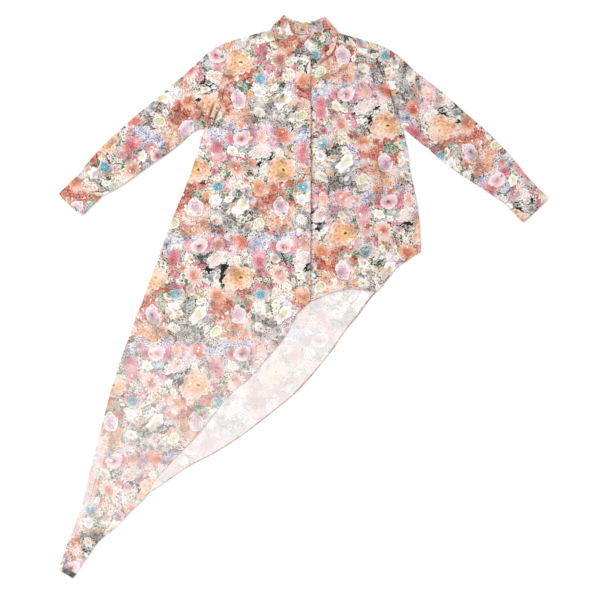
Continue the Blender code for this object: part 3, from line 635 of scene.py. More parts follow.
# fronts
frontPanels = {
    "columns": 112, "gather": 1.45, "crown": 0.6, "placketWave": 0.5,
    # the left front's part that lies hidden under the band
    "hidden": 8, "hiddenEnd": -19.5, "hiddenShare": 0.08, "hiddenSag": 30,
    "bandDip": 0.8, "bandEdge": 23.5,
}


def placketWave(y):
    # the closed front waves a little along its length, the band and both fronts alike
    wave = np.sin(y / 47.0 + 0.8 * np.sin(y / 120.0)) + 0.5 * np.sin(y / 19.0 + 1.3)
    return frontPanels["placketWave"] * wave * ease(-70, 40, y) * ease(650, 560, y)


def frontRow(outer, inner, yOuter, yInner, crown, shares, straight=False):
    # one row of a front, from its outer edge to its inner end
    (x0, z0), (x1, z1) = outer[0], inner
    wide = min(1.0, abs(x1 - x0) / 180.0)
    points = [(x, yOuter, z) for x, z in outer[::-1]]
    if straight:  # one line from the outer edge to the inner end
        edge = outer[-1][0]
        points = [(x, mix(yOuter, yInner, (x - edge) / (x1 - edge)), z) for x, _, z in points]
        yOuter = points[-1][1]
    for t in shares:
        z = mix(z0, z1, t) + (wide * crown * sin(pi * t) ** 0.7 if 0 < t < 1 else 0.0)
        points.append((mix(x0, x1, t), mix(yOuter, yInner, t), z))
    return points


def evenShares(count, stop=1.0):
    # ways across a front, closer together near its armhole and side
    return [stop * ((k + 1) / count) ** frontPanels["gather"] for k in range(count)]


def dressFront(grid, innerColumn, name):
    # folds and placket waves, none where the panel is sewn or folded over
    x, y, fold = grid[:, :, 0], grid[:, :, 1], sheets["edgeSteps"]
    outerX, innerX = grid[:, fold:fold + 1, 0], grid[:, innerColumn:innerColumn + 1, 0]
    pits = list(outline["armpit"].values())
    atSide = np.where(y < pits[0][1], ease(5, 42, np.abs(x - outerX)), 1.0)
    atSide = mix(atSide, 1.0, ease(440, 480, y))
    pit = np.minimum(*[np.hypot(x - px, y - py) for px, py in pits])
    weight = atSide * ease(664, 640, y) * ease(8, 34, pit) * ease(0, 34, np.abs(x - innerX))
    weight *= np.where(np.sign(x - innerX) == np.sign(outerX - innerX), 1.0, 0.0)
    grid[:, :, 2] += np.maximum(weight * foldField(x, y), -1.2)
    grid[:, :, 2] += ease(70, 22, np.abs(x)) * (y > -60) * placketWave(y)
    if name == "left":  # a slight dip beside the band's free edge
        dip = frontPanels["bandDip"] * np.exp(-((x - frontPanels["bandEdge"]) / 3.5) ** 2)
        grid[:, :, 2] -= dip * ease(640, 610, y) * ease(0, 30, y)
    return grid


def makeFrontRight(node):
    shares, crown, rows = evenShares(frontPanels["columns"]), frontPanels["crown"], []
    for (y, right, _, z), (nx, ny, nz) in zip(outline["armhole"], outline["neckRight"]):
        outer, inner = openEdge(right, -1, z), (nx - sheets["seam"], nz)
        seam = sheets["seam"] if y == yokeSeamY else 0.0
        rows.append(frontRow(outer, inner, y - seam, ny - seam, 0.0 if seam else crown, shares, seam > 0))
    for r in outline["body"]:
        y, inner = r[0], (r[2], hemTop(r[0]))
        if y >= outline["bandFoot"]:
            inner = (frontBand["left"] - sheets["seam"], centreTop(y) + sheets["layer"])
        rows.append(frontRow(sideEdge(r, "right", "front"), inner, y, y, crown, shares))
    (x0, y0), (x1, y1) = outline["tailEnd"]
    outer = foldedEdge(x0, -1, "front", seamArc(y0))
    end = frontRow(outer, (x1, hemTop(y1)), y0, y1, crown, shares)
    rows.append([(x, tailEndY(x), z) for x, y, z in end])
    grid = denseRows(rows, sheets["spacing"])
    places = bodyPlaces(grid)
    grid = dressFront(grid, grid.shape[1] - 1, "right")
    return clothMesh(node + "_cloth", grid, places)


def underBand(outer, z, yOuter, yInner, sag, crown):
    # a row of the left front that ends hidden under the band
    clear, hidden = outline["hemFoot"][0], frontPanels["hidden"]
    row = frontRow(outer, (clear, z), yOuter, yInner, crown, evenShares(frontPanels["columns"]))
    for t in [(k + 1) / hidden for k in range(hidden)]:
        y = yInner - sag * t
        row.append((mix(clear, frontPanels["hiddenEnd"], t), y, centreTop(y)))
    return row


def makeFrontLeft(node):
    rows, hidden, share = [], frontPanels["hidden"], frontPanels["hiddenShare"]
    (turn, turnY), (clear, foot) = outline["hemTurn"], outline["hemFoot"]
    openShares = evenShares(frontPanels["columns"], 1 - share)
    openShares += [1 - share + share * (k + 1) / hidden for k in range(hidden)]
    for (y, _, left, z), (nx, ny, nz, sag) in zip(outline["armhole"], outline["neckLeft"]):
        seam = sheets["seam"] if y == yokeSeamY else 0.0
        crown = 0.0 if seam else frontPanels["crown"]
        outer, inner = openEdge(left, 1, z), (nx + sheets["seam"], nz)
        if nx > 0:
            rows.append(frontRow(outer, inner, y - seam, ny - seam, crown, openShares, seam > 0))
        else:
            rows.append(underBand(outer, nz, y, ny, sag, crown))
    for r in outline["body"]:
        if r[0] > turnY:
            side = sideEdge(r, "left", "front")
            rows.append(underBand(side, centreTop(r[0]), r[0], r[0], 0, frontPanels["crown"]))
    end = underBand(openEdge(turn, 1, hemTop(turnY)), centreTop(foot), turnY, foot,
                    frontPanels["hiddenSag"], 0)
    rows.append([(x, y + hemRise((turn - x) / (turn - clear)), z) for x, y, z in end])
    grid = denseRows(rows, sheets["spacing"])
    places = bodyPlaces(grid)
    grid = dressFront(grid, grid.shape[1] - 1 - hidden, "left")
    return clothMesh(node + "_cloth", grid, places, flip=True)


frontBand = {
    "left": -21.0, "right": 19.4, "columns": 14, "wall": 1.2, "lifted": 1.5, "spacing": 4.5,
    "levels": (652.5, 648, 634, 600, 550, 500), "foot": -10, "slant": 38.0, "seamDip": 0.35,
    "sewn": (640, -16),
}


def bandDrop(y, t):
    # how much lower a row of the band is, so far across it: round at the neck, slanted at the hem
    top, second = frontBand["levels"][:2]
    if y == top:
        return 11.0 * (max(t - 0.2, 0) / 0.8) ** 2.2
    if y == second:
        return 9.5 * (max(t - 0.3, 0) / 0.7) ** 2
    return frontBand["slant"] * (1 - t) if y < 0 else 0.0


def makeBand(node):
    rows, count = [], frontBand["columns"]
    for y in [*frontBand["levels"], *[r[0] for r in outline["body"] if r[0] > 0], frontBand["foot"]]:
        row = []
        for k in range(count + 1):
            at = y - bandDrop(y, k / count)
            z = centreTop(at) + sheets["layer"] - frontBand["seamDip"] * max(0.0, 1 - k / 2.0)
            row.append((mix(frontBand["left"], frontBand["right"], k / count), at, z))
        rows.append(row)
    grid = denseRows(rows, frontBand["spacing"])
    places = bodyPlaces(grid)
    x, y = grid[:, :, 0], grid[:, :, 1]
    uneven = 0.75 + 0.35 * np.sin(y / 31.0 + 1.4 * np.sin(y / 83.0))
    edge = ease(8, 19, x) * ease(646, 625, y) * ease(-60, -20, y)
    grid[:, :, 2] += placketWave(y) + frontBand["lifted"] * uneven * edge
    return clothMesh(node + "_cloth", grid, places)


# yoke: up the back, over both shoulders, a narrow strip down the front
yokePanel = {
    "neck": {"right": (-64.0, 727.0), "left": (68.0, 719.0)}, "neckDip": 17.0,
    "upperRow": 669.0, "upperRise": 22.0, "upperOut": 0.6, "lift": 2.1, "underFold": 3.2,
    "armColumns": 26, "neckColumns": 26, "steps": 5,
}


def yokeLift(x, y):
    # the yoke lies higher behind the neck
    return float(yokePanel["lift"] * ease(112, 92, abs(x - 3)) * ease(672, 688, y))


def yokeColumn(t, levels, tip, neck, seam, front):
    # from the back's seam up over the shoulder fold and down to the front's seam
    steps, top = yokePanel["steps"], mixAll(tip, neck, t)
    marks = [(mix(x, neck[0], t), level + rise * t) for level, x, rise in levels]
    marks.append((top[0], top[1] - yokePanel["underFold"]))
    back = [mixAll(a, b, k / steps) for a, b in zip(marks, marks[1:]) for k in range(steps)]
    arc = overFold(*top, yokeLift(*top), outline["shoulderHeight"])
    foot = mixAll(seam, front, t)
    strip = [mixAll(arc[-1], foot, (k + 1) / steps) for k in range(steps)]
    return [(x, y, yokeLift(x, y)) for x, y in back] + arc + strip


def makeYoke(node):
    arm, halves, centre = outline["armhole"], [], []
    first, wide, steps = yokePanel["armColumns"], yokePanel["neckColumns"], yokePanel["steps"]
    for name, key, ends in (("right", 1, "neckRight"), ("left", 2, "neckLeft")):
        tip, neck = outline["shoulderTip"][name], yokePanel["neck"][name]
        levels = [(arm[k][0], arm[k][key], 0.0) for k in (2, 1, 0)]
        upperX = mix(arm[0][key], tip[0], yokePanel["upperOut"])
        levels.append((yokePanel["upperRow"], upperX, yokePanel["upperRise"]))
        seam, front = (arm[0][key], yokeSeamY, arm[0][3]), outline[ends][0][:3]
        halves.append([yokeColumn(c / first, levels, tip, neck, seam, front) for c in range(first + 1)])
    right, left = halves[0][-1], halves[1][-1]
    backRows = 4 * steps + 1  # rows of points below the fold behind the neck
    for c in range(1, wide):
        column = []
        for r in range(backRows):
            x, y, _ = mixAll(right[r], left[r], c / wide)
            y -= yokePanel["neckDip"] * sin(pi * c / wide) * max(0.0, (r - 12) / 8.0)
            column.append((x, y, yokeLift(x, y)))
        centre.append(column + [column[-1]] * (len(right) - backRows))
    grid = np.array(halves[0] + centre + halves[1][::-1])
    x, y, down = grid[:, :, 0], grid[:, :, 1], runs(np.linalg.norm(np.diff(grid, axis=1), axis=2))
    places = np.stack([x, arm[2][0] + down], axis=2)
    top = np.arange(len(right)) > backRows + steps
    field = 0.5 * foldField(x, y) * ease(640, 664, y) * ease(95, 130, np.abs(x))
    grid[:, :, 2] += np.where(top[None, :], field, 0.0)
    piece = clothMesh(node + "_cloth", grid, places, flip=True,
                      hole=lambda i, j: first <= i < first + wide and j >= backRows - 1)
    useOnly([piece])
    inEditMode(bpy.ops.mesh.delete_loose)
    return piece


# sleeves: x and y down the upper fold, x and y down the lower fold, height between
sleevePanels = {
    "right": [
        (-194, 690, -266, 452, 6.8), (-246, 666, -271, 452.5, 7.0), (-306, 612, -279, 452, 7.3),
        (-368, 558, -292, 447, 7.5), (-433, 504, -350, 398, 7.2), (-495, 450, -418, 351, 6.9),
        (-557, 390, -487, 301, 6.6), (-611, 324.5, -546, 269.5, 6.2),
    ],
    "left": [
        (198.5, 682, 267, 452, 6.8), (245, 658, 272, 452, 7.0), (304, 606, 281, 445, 7.3),
        (372, 553.5, 292, 435, 7.5), (431, 501, 341, 395, 7.2), (493, 447, 403, 344, 6.9),
        (553, 386, 473, 298, 6.6), (612, 314.5, 544.5, 250, 6.2),
    ],
    "columns": 64, "foldSteps": 8, "spacing": 3.0, "gap": 0.35, "cuffGap": 0.3, "opened": 3.0,
}
cuffPanels = {
    "right": (-660, 277.5, -597, 219.5, 6.0), "left": (660, 265.5, 593, 201, 6.0),
    "shares": (0.0, 0.04, 0.5, 0.96, 1.0), "proud": 0.5, "wall": 1.2, "underShows": 3.6,
    "spacing": 4.5,
}


def sideOf(name):
    return "right" if "right" in name else "left"


def tubePlaces(grid, first, last):
    # a flattened tube's cut, opened along its lower fold: down the tube by round it
    a, b = np.array(first, dtype=float), np.array(last, dtype=float)
    axis = (b[0:2] + b[2:4] - a[0:2] - a[2:4]) / 2
    axis /= np.linalg.norm(axis)
    across = np.array([-axis[1], axis[0]])
    if across @ (a[2:4] - a[0:2]) < 0:
        across = -across
    flat = grid[:, :, 0:2] @ np.stack([across, -axis], axis=1)
    half, column = sleevePanels["foldSteps"] // 2, np.arange(grid.shape[1])
    turn = sleevePanels["columns"] + half
    rise = np.abs(np.diff(grid[:, :, 2], axis=1, prepend=grid[:, :1, 2])).cumsum(axis=1)
    u = np.where(column < turn, 2 * flat[:, turn:turn + 1, 0] - flat[:, :, 0], flat[:, :, 0])
    u += np.where(np.abs(column - turn) <= half, (rise - rise[:, turn:turn + 1]) * 0.5, 0.0)
    u = np.concatenate([u, u[:, -1:] + sleevePanels["opened"]], axis=1)
    v = np.concatenate([flat[:, :, 1], flat[:, :1, 1]], axis=1)
    return np.stack([u, v], axis=2)


def foldTurn():
    # half a turn up round a side fold: how far in from its edge and how high each point lies
    r, steps = sheets["fold"] / 2, sleevePanels["foldSteps"]
    turns = [-pi / 2 + pi * k / steps for k in range(steps + 1)]
    return [(r * (1 - cos(a)), r + r * sin(a)) for a in turns]


def sleeveRing(row, grow=0.0):
    # round a flattened sleeve or cuff: under side, upper fold, top, lower fold
    fold, count = sheets["fold"], sleevePanels["columns"]
    top, low = np.array(row[0:2], float), np.array(row[2:4], float)
    down = (low - top) / np.linalg.norm(low - top)
    top, low = top - down * grow, low + down * grow
    width = np.linalg.norm(low - top)
    clear = (fold / 2 + 1.0) / width
    shares = [mix(clear, 1 - clear, k / (count - 1)) for k in range(count)]
    points = [(*(top + down * width * s), 0.0) for s in shares[::-1]]
    points += [(*(top + down * inward), z) for inward, z in foldTurn()]
    points += [(*(top + down * width * s), fold + (row[4] - fold) * sin(pi * s) ** 0.8) for s in shares]
    return points + [(*(low - down * inward), z) for inward, z in foldTurn()[::-1]]


def armholeRing(name):
    # the same at the armhole, along its seam
    side, key = (-1, 1) if name == "right" else (1, 2)
    (tipX, tipY), (pitX, pitY) = outline["shoulderTip"][name], outline["armpit"][name]
    high, gap, count = outline["shoulderHeight"], side * sleevePanels["gap"], sleevePanels["columns"]
    table = [(tipY, tipX, high)] + [(r[0], r[key], r[3]) for r in outline["armhole"]]
    table.append((pitY, pitX, sheets["fold"]))
    shares = [0.03 + 0.93 * k / (count - 1) for k in range(count)]

    def place(s):
        y = mix(tipY, pitY, s)
        return float(along(table, 0, 1, y)) + gap, y, float(along(table, 0, 2, y))

    points = [(*place(s)[:2], 0.0) for s in shares[::-1]]
    points += overFold(tipX + gap, tipY, 0.0, high) + [place(s) for s in shares]
    for inward, z in foldTurn()[::-1]:
        x, y, _ = place(1 - 0.07 * inward / sheets["fold"])
        points.append((x, y + 0.3, z))
    return points


def makeSleeve(node):
    name, count = sideOf(node), sleevePanels["columns"]
    table = sleevePanels[name]
    rows = [armholeRing(name)] + [sleeveRing(row) for row in table[1:]]
    a, b = np.array(rows[-2]), np.array(rows[-1])
    back = sleevePanels["cuffGap"] / np.linalg.norm(a - b, axis=1, keepdims=True)
    rows[-1] = (b + (a - b) * back).tolist()
    grid = denseRows(rows, sleevePanels["spacing"])
    places = tubePlaces(grid, table[0], table[-1])
    first = count + sleevePanels["foldSteps"] + 1
    share = np.zeros(grid.shape[1])
    share[first:first + count] = np.linspace(0, 1, count)
    x, y, (pitX, pitY) = grid[:, :, 0], grid[:, :, 1], outline["armpit"]["left"]
    weight = (ease(0.0, 0.22, share) * ease(1.0, 0.8, share))[None, :]
    weight = weight * ease(8, 34, np.hypot(np.abs(x) - pitX, y - pitY))
    weight = weight * ease(664, 640, y) ** ease(-30, 0, y - yokeSeamY)
    grid[:, :, 2] += np.maximum(weight * foldField(x, y), -1.0)
    return clothMesh(node + "_cloth", grid, places, closed=True, flip=name == "left")


def makeCuff(node):
    name, count = sideOf(node), sleevePanels["columns"]
    first, last, rows = sleevePanels[name][-1], cuffPanels[name], []
    for t in cuffPanels["shares"]:
        grow = cuffPanels["proud"] * (1 if 0 < t < 1 else 0.4)
        rows.append(sleeveRing(mixAll(first, last, t), grow))
    ring, before = np.array(rows[-1]), np.array(rows[-3])
    out = (ring - before) / np.linalg.norm(ring - before, axis=1, keepdims=True)
    under = np.zeros((len(ring), 1))  # the layer underneath shows a little past the upper one
    under[:count, 0] = np.sin(np.linspace(0, pi, count)) ** 0.6
    rows[-1] = (ring + out * cuffPanels["underShows"] * under).tolist()
    grid = denseRows(rows, cuffPanels["spacing"])
    places = tubePlaces(grid, first, last)
    return clothMesh(node + "_cloth", grid, places, closed=True, flip=name == "left")


# collar, from the right front's end round the back to the left front's end:
# neck seam, where the fall turns over, the fall's edge, and which way it goes over (degrees)
collarCut = {
    "rows": [
        (-4, 653.2, 7.6, -6.5, 679, 15.5, -46.5, 645.5, 13.2, 0),
        (-24, 657, 7.2, -18, 696.5, 15.5, -61, 655, 12.6, 4),
        (-43, 671.5, 6.9, -30, 711.5, 14.9, -72, 675, 11.9, 10),
        (-53.5, 695, 6.6, -35.5, 728, 13.9, -79, 700, 11.2, 18),
        (-59, 716, 6.2, -44, 747.5, 12.0, -84, 722, 9.6, 34),
        (-60, 731, 5.5, -50.5, 758.8, 8.6, -85.5, 727.5, 4.6, 82),
        (-57, 732, 4.6, -47, 757, 5.3, -85, 719, 0.0, 142),
        (-50, 728, 4.0, -38, 751.5, 4.2, -76, 704, 0.0, 171),
        (-26, 712, 3.8, -19, 744, 4.0, -42, 694, 0.0, 180),
        (0.5, 707, 3.8, 0, 740, 4.0, 1, 693, 0.0, 180),
        (28, 710, 3.8, 22, 744, 4.0, 43, 694, 0.0, 180),
        (53, 722, 4.0, 41, 747.5, 4.2, 78, 699, 0.0, 189),
        (60, 725, 4.6, 51, 752.5, 5.3, 88, 711, 0.0, 218),
        (64, 723, 5.5, 54.5, 754, 8.6, 90, 719, 4.6, 278),
        (63, 711, 6.2, 49.5, 741.5, 12.0, 92, 710, 9.6, 326),
        (56.3, 693, 6.6, 42, 729.5, 13.9, 90, 690, 11.2, 342),
        (46, 670.5, 6.9, 29, 714.5, 14.9, 80, 661, 11.9, 350),
        (26, 655.5, 7.1, 14, 696, 15.5, 63, 643, 12.6, 356),
        (6, 650.5, 7.2, 2, 680, 15.5, 41.5, 629, 13.2, 360),
    ],
    "roll": 4.5, "rollBack": 3.6, "steps": 7, "shortOfTurn": 4.5, "standGap": 0.3,
    "wall": 1.0, "standWall": 0.9,
}


def collarRows():
    # the rows above, with a few more between each two
    rows = np.array(collarCut["rows"], dtype=float)
    gaps = np.ones((len(rows) - 1, 1))
    return through(rows, gaps, [collarCut["steps"]] * len(gaps))


def collarFrame(row):
    # one row's places, the ways it stands and goes over, and how wide its turn is
    neck, fold = Vector(row[0:3]), Vector(row[3:6])
    edge = Vector((row[6], row[7], max(row[8], 0.0)))
    turn = radians(row[9])
    up = (fold - neck).normalized()
    over = Vector((-sin(turn), 0, cos(turn)))
    over = (over - up * over.dot(up)).normalized()
    thick = mix(collarCut["roll"], collarCut["rollBack"], float(ease(0.2, -0.8, cos(turn))))
    return neck, fold, edge, up, over, thick


def collarMesh(node, rows):
    grid = np.array([[tuple(p) for p in row] for row in rows])
    return clothMesh(node + "_cloth", grid, flatPlaces(grid)[:, :, ::-1])


def makeStand(node):
    rows = []
    for row in collarRows():
        neck, fold, _, up, _, _ = collarFrame(row)
        top = fold - up * (collarCut["shortOfTurn"] + collarCut["standGap"])
        rows.append([neck.lerp(top, k / 7) for k in range(8)])
    return collarMesh(node, rows)


def makeFall(node):
    rows = []
    for row in collarRows():
        _, fold, edge, up, over, thick = collarFrame(row)
        start, turn = fold - up * collarCut["shortOfTurn"], fold - up * thick / 2
        points = [start, start.lerp(turn, 0.5), turn]
        for a in [pi * k / 8 for k in range(1, 8)]:
            points.append(turn + up * sin(a) * thick / 2 + over * (1 - cos(a)) * thick / 2)
        outer = turn + over * thick
        rows.append(points + [outer.lerp(edge, k / 12) for k in range(13)])
    return collarMesh(node, rows)


# sewing on the finished pieces

def sewOn(piece, ways, step=5.0):
    # stitch rows along ways over a piece
    rows = [onTop(piece, way, step) for way in ways]
    return [sewing(piece.name.replace("cloth", "sewing"), rows)]


def frontHemWay(name):
    # down the open edge of a front, moved in from it
    if name == "right":
        low, high = trimming["sewnTo"], outline["bandFoot"]
        way = [(r[2], r[0]) for r in outline["body"] if low < r[0] < high]
    else:
        (x0, y0), (x1, y1) = outline["hemTurn"], outline["hemFoot"]
        way = [(r[2], r[0]) for r in outline["body"] if y0 < r[0] < outline["shortCorner"]]
        way += [(mix(x0, x1, t), mix(y0, y1, t) + hemRise(t)) for t in np.linspace(0, 0.9, 12)]
    return insetWay(way, -trimming["fromEdge"])


def frontSewing(piece):
    name = sideOf(piece.name)
    key, side = (1, 1) if name == "right" else (2, -1)
    armhole = [(r[key] + side * trimming["armholeInset"], r[0]) for r in outline["armhole"]][:-1]
    return sewOn(piece, [armhole, frontHemWay(name)])


def bandSewing(piece):
    inset = trimming["bandInset"]
    edges = (frontBand["left"] + inset, frontBand["right"] - inset)
    return sewOn(piece, [[(x, y) for y in frontBand["sewn"]] for x in edges])


def cuffSewing(piece):
    name, ways = sideOf(piece.name), []
    for t in (0.05, 0.94):
        row = mixAll(sleevePanels[name][-1], cuffPanels[name], t)
        ways.append([mixAll(row[0:2], row[2:4], s) for s in (0.05, 0.95)])
    return sewOn(piece, ways, 3.0)


def yokeSewing(piece):
    ways = []
    for key, front in ((1, outline["neckRight"][0]), (2, outline["neckLeft"][0])):
        places = [mixAll((outline["armhole"][0][key], yokeSeamY), front, t) for t in (0.06, 0.5, 0.86)]
        ways.append([(x, y + trimming["yokeInset"]) for x, y in places])
    return sewOn(piece, ways)


def fallSewing(piece):
    # beside the collar's edge, on both leaves and not behind the neck
    grid = grids[piece.name]
    lift = np.cross(np.gradient(grid, axis=0), np.gradient(grid, axis=1))
    lift /= np.linalg.norm(lift, axis=2, keepdims=True) + 1e-9
    sign = 1.0 if lift[2, -2, 2] > 0 else -1.0
    line = (grid + sign * trimming["proud"] * lift)[1:-1, -2]
    rows = [[tuple(p) for p in line if p[2] > 3.0 and p[0] * side > 0] for side in (-1, 1)]
    return [sewing("collar_fall_sewing", rows)]


# printed cotton: a dense flower print in its own half-drop repeat, and its pale wrong side

class Wires:
    # short ways to add and join shader nodes
    def __init__(self, tree):
        self.tree = tree

    def put(self, socket, value):
        if isinstance(value, bpy.types.NodeSocket):
            self.tree.links.new(value, socket)
        elif value is not None:
            socket.default_value = value

    def node(self, kind, inputs=(), **settings):
        made = self.tree.nodes.new(kind)
        for key, value in settings.items():
            setattr(made, key, value)
        for key, value in dict(inputs).items():
            self.put(made.inputs[key], value)
        return made

    def calc(self, operation, *values):
        made = self.node("ShaderNodeMath", operation=operation)
        for socket, value in zip(made.inputs, values):
            self.put(socket, value)
        return made.outputs[0]

    def vector(self, operation, *values):
        made = self.node("ShaderNodeVectorMath", operation=operation)
        for socket, value in zip([s for s in made.inputs if s.enabled], values):
            self.put(socket, value)
        return made.outputs["Value" if operation == "LENGTH" else "Vector"]

    def parts(self, value):
        return self.node("ShaderNodeSeparateXYZ", {0: value}).outputs[:]

    def join(self, x, y, z=0.0):
        return self.node("ShaderNodeCombineXYZ", {0: x, 1: y, 2: z}).outputs[0]

    def span(self, value, low, high, start=0.0, stop=1.0, smooth=True):
        made = self.node("ShaderNodeMapRange", {0: value, 1: low, 2: high, 3: start, 4: stop},
                         interpolation_type="SMOOTHSTEP" if smooth else "LINEAR")
        return made.outputs[0]

    def blend(self, factor, a, b, kind="MIX"):
        made = self.node("ShaderNodeMix", {0: factor, 6: a, 7: b}, data_type="RGBA", blend_type=kind)
        return made.outputs[2]

    def dyed(self, colour, ink, factor=1.0):
        return self.blend(factor, colour, ink, "MULTIPLY")

    def strength(self, colour, amount):
        return self.node("ShaderNodeHueSaturation", {"Saturation": amount, "Color": colour}).outputs[0]

    def ramp(self, value, colours):
        # one colour for each even share of the value
        made = self.node("ShaderNodeValToRGB", {0: value})
        made.color_ramp.interpolation = "CONSTANT"
        stops = made.color_ramp.elements
        for k, colour in enumerate(colours):
            stop = stops[k] if k < 2 else stops.new(k / len(colours))
            stop.position, stop.color = k / len(colours), colour
        return made.outputs[0]

    def noise(self, at, scale, detail, output="Fac", rough=0.5):
        values = {"Vector": at, "Scale": scale, "Detail": detail, "Roughness": rough}
        return self.node("ShaderNodeTexNoise", values, noise_dimensions="2D").outputs[output]


def tint(code):
    # a printed colour from its six-figure screen code
    parts = [int(code[k:k + 2], 16) / 255 for k in (0, 2, 4)]
    return (*[c / 12.92 if c <= 0.04045 else ((c + 0.055) / 1.055) ** 2.4 for c in parts], 1.0)


def newGroup(name, inputs, outputs):
    tree = bpy.data.node_groups.new(name, "ShaderNodeTree")
    for kind, sockets in (("INPUT", inputs), ("OUTPUT", outputs)):
        for label, socketType in sockets:
            tree.interface.new_socket(label, in_out=kind, socket_type="NodeSocket" + socketType)
    wires = Wires(tree)
    return tree, wires, wires.node("NodeGroupInput").outputs, wires.node("NodeGroupOutput").inputs


def blossomGroup():
    # one flower head: how much it covers, how far out, and the shade of its rings of petals
    tree, w, given, made = newGroup(
        "blossom", [("Local", "Vector"), ("Petals", "Float"), ("Depth", "Float"), ("Rings", "Float")],
        [("Cover", "Float"), ("Reach", "Float"), ("Shade", "Float"), ("Tip", "Float")])
    x, y, _ = w.parts(given["Local"])
    far = w.vector("LENGTH", w.join(x, y))
    half = w.calc("MULTIPLY", w.calc("ARCTAN2", y, x), w.calc("MULTIPLY", given["Petals"], 0.5))
    ring = w.calc("FLOOR", w.calc("MULTIPLY", w.calc("MINIMUM", far, 0.99), given["Rings"]))
    petal = w.calc("ABSOLUTE", w.calc("COSINE", w.calc("MULTIPLY_ADD", ring, pi / 2, half)))
    gap = w.calc("SUBTRACT", 1.0, petal)
    edge = w.calc("MULTIPLY", far, w.calc("MULTIPLY_ADD", gap, given["Depth"], 1.0))
    step = w.calc("FRACT", w.calc("MULTIPLY", edge, given["Rings"]))
    lit = w.calc("MULTIPLY", w.calc("POWER", step, 0.55), w.span(petal, 0.0, 0.5, 0.55, 1.0))
    results = (w.span(edge, 1.03, 0.95), edge, lit, w.span(step, 0.62, 0.98))
    for name, value in zip(("Cover", "Reach", "Shade", "Tip"), results):
        w.put(made[name], value)
    return tree


